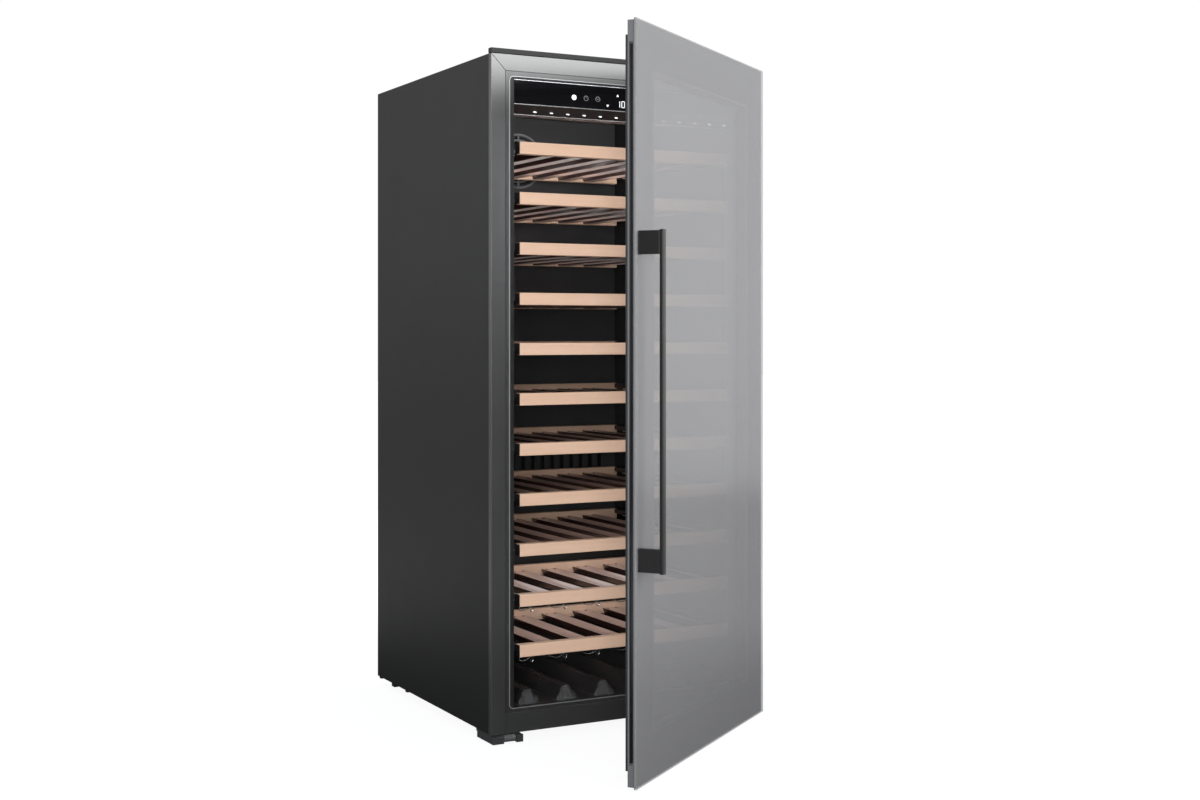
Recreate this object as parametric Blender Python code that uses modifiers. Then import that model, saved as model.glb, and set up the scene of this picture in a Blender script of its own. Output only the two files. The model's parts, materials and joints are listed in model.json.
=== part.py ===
"""A built-in wine cooler with a hinged glass door, eleven sliding slatted shelves and its cooling parts.

The origin is the middle of the front left foot's pad, on the floor. +Z is up and the front faces -Y. Sizes are
in metres. Pieces are placed round the middle of the cabinet's base, and main then moves them all to the origin.
The door parts are modelled closed and hang on an empty on the hinge axis, which holds the door part open.
"""

import math

import bmesh
import bpy
from mathutils import Matrix, Vector

# Clearances, the overlap of joined blocks and how far a cutter runs past a wall
GAP = 0.0003
RUNNING_GAP = 0.001
OVERLAP = 0.001
PAST = 0.020

# Cabinet
CABINET_WIDTH = 0.560
CABINET_DEPTH = 0.571
CABINET_HEIGHT = 1.212
SHEET = 0.001
BASE_SHEET = 0.002
FRAME_DEPTH = 0.012
STILE_WIDTH = 0.028
TOP_RAIL_HEIGHT = 0.0295
BOTTOM_RAIL_HEIGHT = 0.036
TRIM_RISE = 0.010
TRIM_SET_BACK = 0.001
TRIM_DEPTH = 0.014
LUGS = ((0.158, 0.010, 0.004), (0.085, 0.015, 0.007), (0.012, 0.010, 0.004))
LUG_WIDTH = 0.012

# Inner liner
LINER_WALL = 0.0015
SIDE_INSULATION = 0.045
TOP_INSULATION = 0.042
FLOOR_INSULATION = 0.042
REAR_INSULATION = 0.051
HUMP_DEPTH = 0.155
HUMP_TOP = 0.300
FLANGE_SET_BACK = 0.001
FOAM_OVER_COMPARTMENT = 0.045

# Control panel
PANEL_HEIGHT = 0.060
PANEL_DEPTH = 0.055
PANEL_SET_BACK = 0.004
PANEL_FROM_TOP = 0.0015
GLASS_FACE_HEIGHT = 0.043
GLASS_FACE_MARGIN = 0.001
GLASS_FACE = 0.0025

# Air duct and fan
DUCT_DEPTH = 0.040
DUCT_SHEET = 0.002
SLOT_WIDTH = 0.009
SLOT_HEIGHT = 0.050
SLOT_PITCH = 0.023
SLOT_COUNT = 18
SLOT_ROWS = (0.045, 0.115)
FAN_BELOW_TOP = 0.092
GRILLE_RADIUS = 0.0585
GRILLE_THICKNESS = 0.003
GRILLE_RINGS = 5
GRILLE_BARS = 4
GRILLE_BAR_SHARE = 0.36
GRILLE_SPOKE_SHARE = 0.8
FAN_OPENING_RADIUS = 0.050
FAN_RADIUS = 0.045
FAN_DEPTH = 0.014
FAN_BLADES = 7
FAN_BEHIND_DUCT = 0.002
BLADE_CHORD = 0.019
BLADE_THICKNESS = 0.0016
BLADE_ROOT = 0.003
BLADE_PITCH = math.radians(35)
MOTOR_RADIUS = 0.018
MOTOR_DEPTH = 0.014

# Shelves
SHELF_COUNT = 11
TOP_BAY = 0.1117
BOTTOM_BAY = 0.1118
RAIL_END_PLAY = 0.015
RAIL_HEIGHT = 0.022
RAIL_THICKNESS = 0.018
SHELF_SET_BACK = 0.007
LONG_SHELF_PLAY = 0.020
SHORT_SHELF_PLAY = 0.015
BACK_RAIL_THICKNESS = 0.015
SLAT_DROP = 0.0095
SLAT_THICKNESS = 0.0115
LONG_SLATS = (8, 0.025, 0.034)
SHORT_SLATS = (7, 0.022, 0.038)
SIDE_BAR_WIDTH = 0.017
SIDE_BAR_THICKNESS = 0.0095
SIDE_BAR_DROP = 0.001
SIDE_BAR_SHORTER = 0.002
SIDE_PLAY = 0.004

# Shelf racks
RACK_POST = 0.002
RACK_POST_WIDTH = 0.014
RACK_FRONT = 0.045
RUNNER_THICKNESS = 0.0022
RACK_POST_FROM_REAR = 0.036
RACK_BELOW_LAST = 0.020
RACK_ABOVE_FIRST = 0.010
RUNNER_BEFORE_POST = 0.015
RUNNER_BEHIND_POST = 0.003

# Floor tray
TRAY_RIDGES = 6
TRAY_RIDGE_HEIGHT = 0.026
TRAY_THICKNESS = 0.002
TRAY_FRONT = 0.006
TRAY_REAR_PLAY = 0.025
FILTER_RADIUS = 0.030
FILTER_THICKNESS = 0.012
FILTER_X = -0.040
FILTER_ABOVE_FLOOR = 0.034

# Cooling machine
COMPARTMENT_HEIGHT = 0.250
EVAPORATOR_REACH = 0.150
EVAPORATOR_ABOVE_STEP = 0.220
EVAPORATOR_BELOW_GRILLE = 0.120
EVAPORATOR_BEHIND_DUCT = 0.008
EVAPORATOR_BEFORE_LINER = 0.006
EVAPORATOR_FINS = 12
FIN_PITCH = 0.025
FIN_SLOT = 0.018
FIN_SLOT_DEPTH = 0.012
FIN_END = 0.010
COMPRESSOR_X = 0.120
COMPRESSOR_RADIUS = 0.062
COMPRESSOR_HEIGHT = 0.170
COMPRESSOR_LIFT = 0.012
COMPRESSOR_PLATE = (0.160, 0.090)
COMPRESSOR_BEHIND_FOAM = 0.012
COIL_X = -0.120
COIL_BOTTOM = 0.035
COIL_TUBE_RADIUS = 0.003
COIL_PASSES = 8
COIL_PITCH = 0.024
COIL_LENGTH = 0.200
INLET_SIZE = (0.050, 0.024, 0.030)
INLET_FROM_SIDE = 0.030
INLET_LIFT = 0.004
INLET_WALL = 0.004

# Feet and the door's support roller
FOOT_HEIGHT = 0.017
FOOT_RADIUS = 0.015
FOOT_INSET_X = 0.065
FOOT_INSET_Y = 0.110
BRACKET_WIDTH = 0.059
BRACKET_DEPTH = 0.070
BRACKET_TOP = 0.002
BRACKET_HEIGHT = 0.013
BRACKET_REACH = 0.0085
BRACKET_PLATE = 0.003
BRACKET_PLATE_FRONT = 0.004
BRACKET_PLATE_LONGER = 0.006
BRACKET_PLATE_NARROWER = 0.001
ROLLER_RADIUS = 0.0062
ROLLER_LENGTH = 0.023
ROLLER_X = 0.034
ROLLER_PROUD = 0.0005
ROLLER_RAISE = 0.001
ROLLER_CHAMFER = 0.0008
ROLLER_PIN_RADIUS = 0.002
ROLLER_PIN_GRIP = 0.004

# Door
DOOR_OVERLAP = 0.0175
DOOR_DROP = 0.0144
DOOR_RISE = 0.0066
DOOR_GLASS = 0.004
DOOR_FRAME_INSET = 0.0027
DOOR_FRAME_THICKNESS = 0.0122
WINDOW_BORDER = 0.075
CARRIER_INSET = 0.021
CARRIER_THICKNESS = 0.004
INNER_PANE = 0.0035
PANE_LAP = 0.010
GASKET_WIDTH = 0.013
GASKET_THICKNESS = 0.0085
SEAL_GAP = 0.0007
CHANNEL_WIDTH = 0.007
CHANNEL_DEPTH = 0.005
CORNER_LENGTH = 0.038
OPEN_ANGLE = math.radians(36.2)
HINGE_FROM_EDGE = 0.0178
HINGE_FROM_FRONT = 0.0477
LEAF_FROM_AXIS = 0.010
LEAF_WIDTH = 0.065
LEAF_THICKNESS = 0.004
LEAF_MARGIN = 0.0015
LEAF_FROM_TOP = 0.004
LEAF_FROM_BOTTOM = 0.002
RAMP_FROM_EDGE = 0.020
RAMP_WIDTH = 0.028
RAMP_REACH = 0.008
RAMP_BELOW_GASKET = 0.004
RAMP_THICKNESS = 0.004
HINGE_BRACKET_FROM_AXIS = 0.006
HINGE_BRACKET_WIDTH = 0.074
HINGE_BRACKET_THICKNESS = 0.0052
HINGE_BRACKET_FROM_TOP = 0.001
HINGE_BRACKET_FROM_BASE = 0.0005

# Handle
HANDLE_LENGTH = 0.549
HANDLE_BOTTOM = 0.331
HANDLE_INSET = 0.005
HANDLE_WIDTH = 0.012
HANDLE_THICKNESS = 0.0065
HANDLE_STANDOFF = 0.038
POST_HEIGHT = 0.038
POST_INSET = 0.0015

# Places that follow from the sizes
FRONT = -CABINET_DEPTH / 2
BACK = CABINET_DEPTH / 2
RIGHT = CABINET_WIDTH / 2
INNER_X = RIGHT - SIDE_INSULATION
INNER_TOP = CABINET_HEIGHT - TOP_INSULATION
INNER_DEPTH = CABINET_DEPTH - REAR_INSULATION
HUMP_FACE = INNER_DEPTH - HUMP_DEPTH
DUCT_FACE = INNER_DEPTH - DUCT_DEPTH
FAN_HEIGHT = INNER_TOP - FAN_BELOW_TOP
TOP_SHELF_HEIGHT = INNER_TOP - TOP_BAY
SHELF_PITCH = (TOP_SHELF_HEIGHT - FLOOR_INSULATION - BOTTOM_BAY) / (SHELF_COUNT - 1)
RAIL_REACH = INNER_X - RAIL_END_PLAY
LONG_SHELF_REAR = DUCT_FACE - LONG_SHELF_PLAY
SHORT_SHELF_REAR = HUMP_FACE - SHORT_SHELF_PLAY
DOOR_WIDTH = CABINET_WIDTH + 2 * DOOR_OVERLAP
DOOR_BOTTOM = -DOOR_DROP
DOOR_TOP = CABINET_HEIGHT + DOOR_RISE
CARRIER_STACK = DOOR_FRAME_THICKNESS + CARRIER_THICKNESS
DOOR_THICKNESS = DOOR_GLASS + GAP + CARRIER_STACK + GAP + GASKET_THICKNESS + SEAL_GAP
DOOR_FACE = FRONT - DOOR_THICKNESS
HINGE_X = DOOR_WIDTH / 2 - HINGE_FROM_EDGE
HINGE_Y = FRONT - HINGE_FROM_FRONT
MACHINE_Y = FRONT + HUMP_FACE + FOAM_OVER_COMPARTMENT + COMPRESSOR_BEHIND_FOAM + COMPRESSOR_RADIUS

LOOKS = {
    "graphite sheet": ((0.040, 0.042, 0.045), 0.45, 0.6),
    "frame sheet": ((0.110, 0.115, 0.120), 0.40, 0.6),
    "black plastic": ((0.012, 0.012, 0.013), 0.45, 0.0),
    "gloss black": ((0.004, 0.004, 0.005), 0.08, 0.0),
    "foam": ((0.780, 0.720, 0.520), 0.90, 0.0),
    "beech": ((0.760, 0.530, 0.350), 0.50, 0.0),
    "walnut": ((0.085, 0.040, 0.028), 0.35, 0.0),
    "steel": ((0.500, 0.500, 0.520), 0.35, 1.0),
    "copper": ((0.720, 0.380, 0.250), 0.35, 1.0),
    "aluminium": ((0.600, 0.610, 0.630), 0.40, 1.0),
    "rubber": ((0.010, 0.010, 0.010), 0.70, 0.0),
    "grey glass": ((0.300, 0.300, 0.310), 0.05, 0.0),
}

parts = bpy.data.collections.new("wine_cooler")
cutters = bpy.data.collections.new("wine_cooler_cutters")
materials = {}


def clear_scene():
    for obj in list(bpy.data.objects):
        bpy.data.objects.remove(obj, do_unlink=True)
    bpy.context.scene.collection.children.link(parts)
    bpy.context.scene.collection.children.link(cutters)


def material(name):
    if name not in materials:
        colour, roughness, metallic = LOOKS[name]
        made = bpy.data.materials.new(name)
        made.use_nodes = True
        shader = made.node_tree.nodes["Principled BSDF"]
        shader.inputs["Base Color"].default_value = (*colour, 1.0)
        shader.inputs["Roughness"].default_value = roughness
        shader.inputs["Metallic"].default_value = metallic
        materials[name] = made
    return materials[name]


def place(obj, look, hang_on=None):
    """Put an object among the parts, or among the cutters when it has no look."""
    (parts if look else cutters).objects.link(obj)
    if look:
        obj.data.materials.append(material(look))
    else:
        obj.hide_render = True
        obj.display_type = "WIRE"
    if hang_on:
        obj.parent = hang_on
        obj.matrix_parent_inverse = Matrix.Translation(-Vector(hang_on.location))
    return obj


def axis_empty(name, location, turn=0.0):
    empty = bpy.data.objects.new(name, None)
    empty.location = location
    empty.rotation_euler.z = turn
    parts.objects.link(empty)
    return empty


def turned_boxes(name, boxes):
    """A mesh of separate boxes, each given as its size and where it is put."""
    shape = bmesh.new()
    for size, where in boxes:
        bmesh.ops.create_cube(shape, size=1.0, matrix=where @ Matrix.Diagonal((*size, 1.0)))
    mesh = bpy.data.meshes.new(name)
    shape.to_mesh(mesh)
    shape.free()
    return mesh


def box_mesh(name, blocks):
    """A mesh of separate boxes, each given as its x, y and z limits."""
    boxes = []
    for limits in blocks:
        centre = Vector([(low + high) / 2 for low, high in limits])
        boxes.append(([high - low for low, high in limits], Matrix.Translation(centre)))
    return turned_boxes(name, boxes)


def box(name, x, y, z, look=None, hang_on=None, bevel=0.0):
    obj = bpy.data.objects.new(name, box_mesh(name, [(x, y, z)]))
    place(obj, look, hang_on)
    if bevel:
        round_edges(obj, bevel)
    return obj


def round_edges(obj, width, segments=1):
    modifier = obj.modifiers.new("Rounded edges", "BEVEL")
    modifier.width = width
    modifier.segments = segments
    modifier.limit_method = "ANGLE"


def combine(obj, other, operation):
    modifier = obj.modifiers.new(other.name, "BOOLEAN")
    modifier.object = other
    modifier.operation = operation
    modifier.solver = "EXACT"


def cut(obj, blocks, hang_on=None):
    """Cut boxes that stand clear of each other out of an object."""
    cutter = bpy.data.objects.new(obj.name + "_cutter", box_mesh(obj.name + "_cutter", blocks))
    place(cutter, None, hang_on)
    combine(obj, cutter, "DIFFERENCE")


def join(obj, blocks, hang_on=None):
    """Join boxes that stand clear of each other to an object."""
    added = bpy.data.objects.new(obj.name + "_addition", box_mesh(obj.name + "_addition", blocks))
    place(added, None, hang_on)
    combine(obj, added, "UNION")


def turned(name, profile, location, look=None, along="Z", steps=24, closed=False):
    """A turned shape. The profile's (radius, height) points run down its outer side."""
    mesh = bpy.data.meshes.new(name)
    edges = [(i, i + 1) for i in range(len(profile) - 1)]
    if closed:
        edges.append((len(profile) - 1, 0))
    mesh.from_pydata([(radius, 0.0, height) for radius, height in profile], edges, [])
    obj = bpy.data.objects.new(name, mesh)
    place(obj, look)
    obj.location = location
    if along == "Y":
        obj.rotation_euler.x = math.radians(90)
    if along == "X":
        obj.rotation_euler.y = math.radians(90)
    screw = obj.modifiers.new("Turned", "SCREW")
    screw.steps = steps
    screw.render_steps = steps
    screw.use_merge_vertices = True
    screw.merge_threshold = 0.00001
    screw.use_smooth_shade = True
    return obj


def cylinder_profile(radius, length):
    """A plain cylinder centred on its own origin."""
    return [(0.0, length / 2), (radius, length / 2), (radius, -length / 2), (0.0, -length / 2)]


def inset(limits, margin):
    return limits[0] + margin, limits[1] - margin


def from_front(near, far):
    """Limits along Y, given as distances behind the cabinet's front plane."""
    return FRONT + near, FRONT + far


# ---------------------------------------------------------------- cabinet shell


def outer_panels():
    behind_frame = (FRONT + FRAME_DEPTH + GAP, BACK)
    for side, name in ((-1, "left_side_panel"), (1, "right_side_panel")):
        x = sorted((side * RIGHT, side * (RIGHT - SHEET)))
        box(name, x, behind_frame, (0.0, CABINET_HEIGHT), "graphite sheet")
    across = inset((-RIGHT, RIGHT), SHEET + GAP)
    box("top_panel", across, behind_frame, (CABINET_HEIGHT - SHEET, CABINET_HEIGHT), "graphite sheet")
    base = box("base_panel", across, behind_frame, (0.0, BASE_SHEET), "graphite sheet")
    lugs = []
    for from_back, length, height in LUGS:
        y = (BACK - from_back - length / 2, BACK - from_back + length / 2)
        lugs.append(((across[0], across[0] + LUG_WIDTH), y, (-height, BASE_SHEET / 2)))
    join(base, lugs)
    box(
        "rear_panel",
        across,
        (BACK - SHEET, BACK),
        (COMPARTMENT_HEIGHT, CABINET_HEIGHT - SHEET - GAP),
        "graphite sheet",
    )


def front_frame():
    frame = box(
        "front_frame",
        (-RIGHT, RIGHT),
        (FRONT, FRONT + FRAME_DEPTH),
        (0.0, CABINET_HEIGHT),
        "frame sheet",
    )
    opening_z = (BOTTOM_RAIL_HEIGHT, CABINET_HEIGHT - TOP_RAIL_HEIGHT)
    cut(frame, [(inset((-RIGHT, RIGHT), STILE_WIDTH), from_front(-PAST, FRAME_DEPTH + PAST), opening_z)])
    round_edges(frame, 0.0006)


def top_trim():
    trim = box(
        "top_trim",
        inset((-RIGHT, RIGHT), GAP),
        from_front(TRIM_SET_BACK, TRIM_DEPTH),
        (CABINET_HEIGHT + GAP, CABINET_HEIGHT + TRIM_RISE),
        "graphite sheet",
    )
    round_edges(trim, 0.001)


def inner_liner():
    """A stepped tub, with a step over the compressor, and a flange that faces the door."""
    outer_x = inset((-INNER_X, INNER_X), -LINER_WALL)
    start = FRONT + FLANGE_SET_BACK
    liner = box(
        "inner_liner",
        outer_x,
        (start, FRONT + INNER_DEPTH + LINER_WALL),
        (HUMP_TOP - LINER_WALL, INNER_TOP + LINER_WALL),
        "black plastic",
    )
    lower_y = (start, FRONT + HUMP_FACE + LINER_WALL)
    join(liner, [(outer_x, lower_y, (FLOOR_INSULATION - LINER_WALL, HUMP_TOP + LINER_WALL))])
    flange_x = inset((-RIGHT, RIGHT), STILE_WIDTH + GAP)
    flange_z = (BOTTOM_RAIL_HEIGHT + GAP, CABINET_HEIGHT - TOP_RAIL_HEIGHT - GAP)
    join(liner, [(flange_x, (start, start + LINER_WALL), flange_z)])
    cavity_x = (-INNER_X, INNER_X)
    cut(liner, [(cavity_x, from_front(-PAST, INNER_DEPTH), (HUMP_TOP, INNER_TOP))])
    cut(liner, [(cavity_x, from_front(-PAST, HUMP_FACE), (FLOOR_INSULATION, HUMP_TOP + PAST))])


def insulation_foam():
    """The foam that fills the space between the shell and the liner, open over the machine compartment."""
    x = inset((-RIGHT, RIGHT), SHEET + GAP)
    y = (FRONT + FRAME_DEPTH + GAP, BACK - SHEET - GAP)
    foam = box("insulation_foam", x, y, (BASE_SHEET + GAP, CABINET_HEIGHT - SHEET - GAP), "foam")
    grown = LINER_WALL + GAP
    hollow_x = inset((-INNER_X, INNER_X), -grown)
    back_y = from_front(-PAST, INNER_DEPTH + grown)
    cut(foam, [(hollow_x, back_y, (HUMP_TOP - grown, INNER_TOP + grown))])
    lower_y = from_front(-PAST, HUMP_FACE + grown)
    cut(foam, [(hollow_x, lower_y, (FLOOR_INSULATION - grown, HUMP_TOP + PAST))])
    compartment_y = (FRONT + HUMP_FACE + FOAM_OVER_COMPARTMENT, BACK + PAST)
    cut(foam, [(inset((-RIGHT, RIGHT), -PAST), compartment_y, (-PAST, COMPARTMENT_HEIGHT))])


# ---------------------------------------------------------------- inside the cabinet


def control_panel():
    top = INNER_TOP - PANEL_FROM_TOP
    x = inset((-INNER_X, INNER_X), RUNNING_GAP)
    housing = box(
        "control_housing",
        x,
        from_front(PANEL_SET_BACK, PANEL_DEPTH),
        (top - PANEL_HEIGHT, top),
        "black plastic",
    )
    round_edges(housing, 0.002)
    glass = box(
        "control_glass",
        x,
        from_front(PANEL_SET_BACK - GAP - GLASS_FACE, PANEL_SET_BACK - GAP),
        (top - GLASS_FACE_HEIGHT, top - GLASS_FACE_MARGIN),
        "gloss black",
    )
    round_edges(glass, 0.0005)


def duct_panel():
    x = inset((-INNER_X, INNER_X), RUNNING_GAP)
    panel = box(
        "duct_panel",
        x,
        from_front(DUCT_FACE, DUCT_FACE + DUCT_SHEET),
        (HUMP_TOP + RUNNING_GAP, INNER_TOP - RUNNING_GAP),
        "black plastic",
    )
    slots = []
    through = from_front(DUCT_FACE - PAST, DUCT_FACE + PAST)
    for above_hump in SLOT_ROWS:
        row = HUMP_TOP + above_hump
        for i in range(SLOT_COUNT):
            centre = (i - (SLOT_COUNT - 1) / 2) * SLOT_PITCH
            slot_x = (centre - SLOT_WIDTH / 2, centre + SLOT_WIDTH / 2)
            slots.append((slot_x, through, (row, row + SLOT_HEIGHT)))
    cut(panel, slots)
    hole = turned(
        "duct_panel_fan_hole",
        cylinder_profile(FAN_OPENING_RADIUS, 2 * PAST),
        (0.0, FRONT + DUCT_FACE, FAN_HEIGHT),
        along="Y",
    )
    combine(panel, hole, "DIFFERENCE")


def fan():
    """The round grille on the duct panel, with the rotor and its motor behind it."""
    centre_y = FRONT + DUCT_FACE - GAP - GRILLE_THICKNESS / 2
    ring_step = GRILLE_RADIUS / GRILLE_RINGS
    bar = ring_step * GRILLE_BAR_SHARE
    half = GRILLE_THICKNESS / 2

    def ring(outer):
        return [(outer, half), (outer, -half), (outer - bar, -half), (outer - bar, half)]

    place_at = (0.0, centre_y, FAN_HEIGHT)
    grille = turned("fan_grille", ring(GRILLE_RADIUS), place_at, "black plastic", "Y", closed=True)
    size = (2 * (GRILLE_RADIUS - bar / 2), bar, GRILLE_THICKNESS * GRILLE_SPOKE_SHARE)
    for i in range(GRILLE_BARS):
        turn = Matrix.Rotation(math.pi * i / GRILLE_BARS, 4, "Z")
        mesh = turned_boxes("fan_grille_spoke", [(size, turn)])
        combine(grille, faced_forward(mesh, place_at), "UNION")
    for i in range(1, GRILLE_RINGS):
        inner = turned(f"fan_grille_ring_{i}", ring(ring_step * i), place_at, along="Y", closed=True)
        combine(grille, inner, "UNION")

    rotor_at = (0.0, FRONT + DUCT_FACE + DUCT_SHEET + FAN_BEHIND_DUCT + FAN_DEPTH / 2, FAN_HEIGHT)
    rotor = turned("fan_rotor", cylinder_profile(MOTOR_RADIUS, FAN_DEPTH), rotor_at, "black plastic", "Y")
    root = MOTOR_RADIUS - BLADE_ROOT
    size = (FAN_RADIUS - root, BLADE_CHORD, BLADE_THICKNESS)
    out = Matrix.Translation(((FAN_RADIUS + root) / 2, 0.0, 0.0)) @ Matrix.Rotation(BLADE_PITCH, 4, "X")
    turns = [Matrix.Rotation(2 * math.pi * i / FAN_BLADES, 4, "Z") for i in range(FAN_BLADES)]
    blades = turned_boxes("fan_rotor_blades", [(size, turn @ out) for turn in turns])
    combine(rotor, faced_forward(blades, rotor_at), "UNION")

    motor_y = rotor_at[1] + FAN_DEPTH / 2 + RUNNING_GAP + MOTOR_DEPTH / 2
    profile = cylinder_profile(MOTOR_RADIUS, MOTOR_DEPTH)
    turned("fan_motor", profile, (0.0, motor_y, FAN_HEIGHT), "steel", "Y")


def faced_forward(mesh, location):
    """A cutter whose own Z runs along the cabinet's depth."""
    obj = place(bpy.data.objects.new(mesh.name, mesh), None)
    obj.location = location
    obj.rotation_euler.x = math.radians(90)
    return obj


def charcoal_filter():
    face = HUMP_FACE - GAP - FILTER_THICKNESS / 2
    half = FILTER_THICKNESS / 2
    profile = [
        (0.0, half),
        (FILTER_RADIUS * 0.8, half),
        (FILTER_RADIUS, half * 0.3),
        (FILTER_RADIUS, -half),
        (0.0, -half),
    ]
    turned(
        "charcoal_filter",
        profile,
        (FILTER_X, FRONT + face, FLOOR_INSULATION + FILTER_ABOVE_FLOOR),
        "black plastic",
        "Y",
    )


def floor_tray():
    """A corrugated sheet: one wave for each row of bottles, and its own thickness below."""
    reach = INNER_X - RUNNING_GAP
    points_in_wave = 8
    steps = TRAY_RIDGES * points_in_wave
    base = FLOOR_INSULATION + GAP

    def ridge(x):
        wave = (1 - math.cos(2 * math.pi * TRAY_RIDGES * (x + reach) / (2 * reach))) / 2
        return base + TRAY_THICKNESS + (TRAY_RIDGE_HEIGHT - TRAY_THICKNESS) * wave

    across = [-reach + 2 * reach * i / steps for i in range(steps + 1)]
    upper = [(x, ridge(x)) for x in across]
    lower = [(x, ridge(x) - TRAY_THICKNESS) for x in reversed(across)]
    outline = bpy.data.curves.new("floor_tray", "CURVE")
    outline.dimensions = "2D"
    outline.fill_mode = "BOTH"
    rear = HUMP_FACE - TRAY_REAR_PLAY
    outline.extrude = (rear - TRAY_FRONT) / 2
    spline = outline.splines.new("POLY")
    points = upper + lower
    spline.points.add(len(points) - 1)
    for point, (x, z) in zip(spline.points, points):
        point.co = (x, z, 0.0, 1.0)
    spline.use_cyclic_u = True
    tray = place(bpy.data.objects.new("floor_tray", outline), "black plastic")
    tray.location = (0.0, FRONT + (TRAY_FRONT + rear) / 2, 0.0)
    tray.rotation_euler.x = math.radians(90)


def shelf_height(index):
    return TOP_SHELF_HEIGHT - index * SHELF_PITCH


def runner_top(index):
    return shelf_height(index) - SIDE_BAR_DROP - SIDE_BAR_THICKNESS - GAP


def is_short(index):
    """A shelf whose rail would meet the step over the compressor ends in front of it."""
    return shelf_height(index) - RAIL_HEIGHT < HUMP_TOP + RUNNING_GAP


def shelf_rear(index):
    return SHORT_SHELF_REAR if is_short(index) else LONG_SHELF_REAR


def shelf_racks():
    """On each side wall, posts and one runner under each shelf."""
    for side, name in ((-1, "left_rack"), (1, "right_rack")):

        def span(from_wall, to_wall):
            return sorted((side * (INNER_X - from_wall), side * (INNER_X - to_wall)))

        post_x = span(GAP, GAP + RACK_POST)
        lowest = runner_top(SHELF_COUNT - 1) - RUNNER_THICKNESS - RACK_BELOW_LAST
        highest = runner_top(0) + RACK_ABOVE_FIRST
        front_y = from_front(RACK_FRONT, RACK_FRONT + RACK_POST_WIDTH)
        rack = box(name, post_x, front_y, (lowest, highest), "black plastic")
        last_long = min(runner_top(index) for index in range(SHELF_COUNT) if not is_short(index))
        lower_end = last_long - RUNNER_THICKNESS / 2
        rear_post = LONG_SHELF_REAR - RACK_POST_FROM_REAR
        low_post = SHORT_SHELF_REAR - RACK_POST_FROM_REAR
        rear_y = from_front(rear_post, rear_post + RACK_POST_WIDTH)
        low_y = from_front(low_post, low_post + RACK_POST_WIDTH)
        join(rack, [(post_x, rear_y, (lower_end, highest)), (post_x, low_y, (lowest, lower_end))])
        runners = []
        for index in range(SHELF_COUNT):
            post = shelf_rear(index) - RACK_POST_FROM_REAR
            y = from_front(RACK_FRONT - RUNNER_BEFORE_POST, post + RACK_POST_WIDTH + RUNNER_BEHIND_POST)
            top = runner_top(index)
            runners.append((span(GAP, RAIL_END_PLAY - RUNNING_GAP), y, (top - RUNNER_THICKNESS, top)))
        join(rack, runners)


def shelves():
    for index in range(SHELF_COUNT):
        number = index + 1
        top = shelf_height(index)
        rear = shelf_rear(index)
        slide = axis_empty(f"shelf_{number}_slide", (0.0, FRONT + SHELF_SET_BACK, top))
        rail_x = (-RAIL_REACH, RAIL_REACH)
        rail_z = (top - RAIL_HEIGHT, top)
        box(
            f"shelf_{number}_front_rail",
            rail_x,
            from_front(SHELF_SET_BACK, SHELF_SET_BACK + RAIL_THICKNESS),
            rail_z,
            "beech",
            slide,
            bevel=0.0012,
        )
        deck = box(
            f"shelf_{number}_deck",
            rail_x,
            from_front(rear - BACK_RAIL_THICKNESS, rear),
            rail_z,
            "walnut",
            slide,
        )
        start = SHELF_SET_BACK + RAIL_THICKNESS + GAP
        end = rear - BACK_RAIL_THICKNESS / 2
        count, from_wall, width = SHORT_SLATS if is_short(index) else LONG_SLATS
        pitch = 2 * (INNER_X - from_wall) / (count - 1)
        slat_z = (top - SLAT_DROP - SLAT_THICKNESS, top - SLAT_DROP)
        slats = []
        for i in range(1, count - 1):
            centre = (i - (count - 1) / 2) * pitch
            slats.append(((centre - width / 2, centre + width / 2), from_front(start, end), slat_z))
        outer = INNER_X - SIDE_PLAY
        bar_z = (top - SIDE_BAR_DROP - SIDE_BAR_THICKNESS, top - SIDE_BAR_DROP)
        for side in (-1, 1):
            bar_x = sorted((side * (outer - SIDE_BAR_WIDTH), side * outer))
            slats.append((bar_x, from_front(start, rear - SIDE_BAR_SHORTER), bar_z))
        join(deck, slats, slide)


# ---------------------------------------------------------------- cooling machine


def evaporator():
    """A finned cold plate behind the duct panel."""
    z = (HUMP_TOP + EVAPORATOR_ABOVE_STEP, FAN_HEIGHT - GRILLE_RADIUS - EVAPORATOR_BELOW_GRILLE)
    front = DUCT_FACE + DUCT_SHEET + EVAPORATOR_BEHIND_DUCT
    plate = box(
        "evaporator",
        (-EVAPORATOR_REACH, EVAPORATOR_REACH),
        from_front(front, INNER_DEPTH - EVAPORATOR_BEFORE_LINER),
        z,
        "aluminium",
    )
    slots = []
    for i in range(EVAPORATOR_FINS):
        x = (i - (EVAPORATOR_FINS - 1) / 2) * FIN_PITCH
        y = from_front(front - PAST, front + FIN_SLOT_DEPTH)
        slots.append(((x - FIN_SLOT / 2, x + FIN_SLOT / 2), y, inset(z, -FIN_END)))
    cut(plate, slots)


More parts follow.
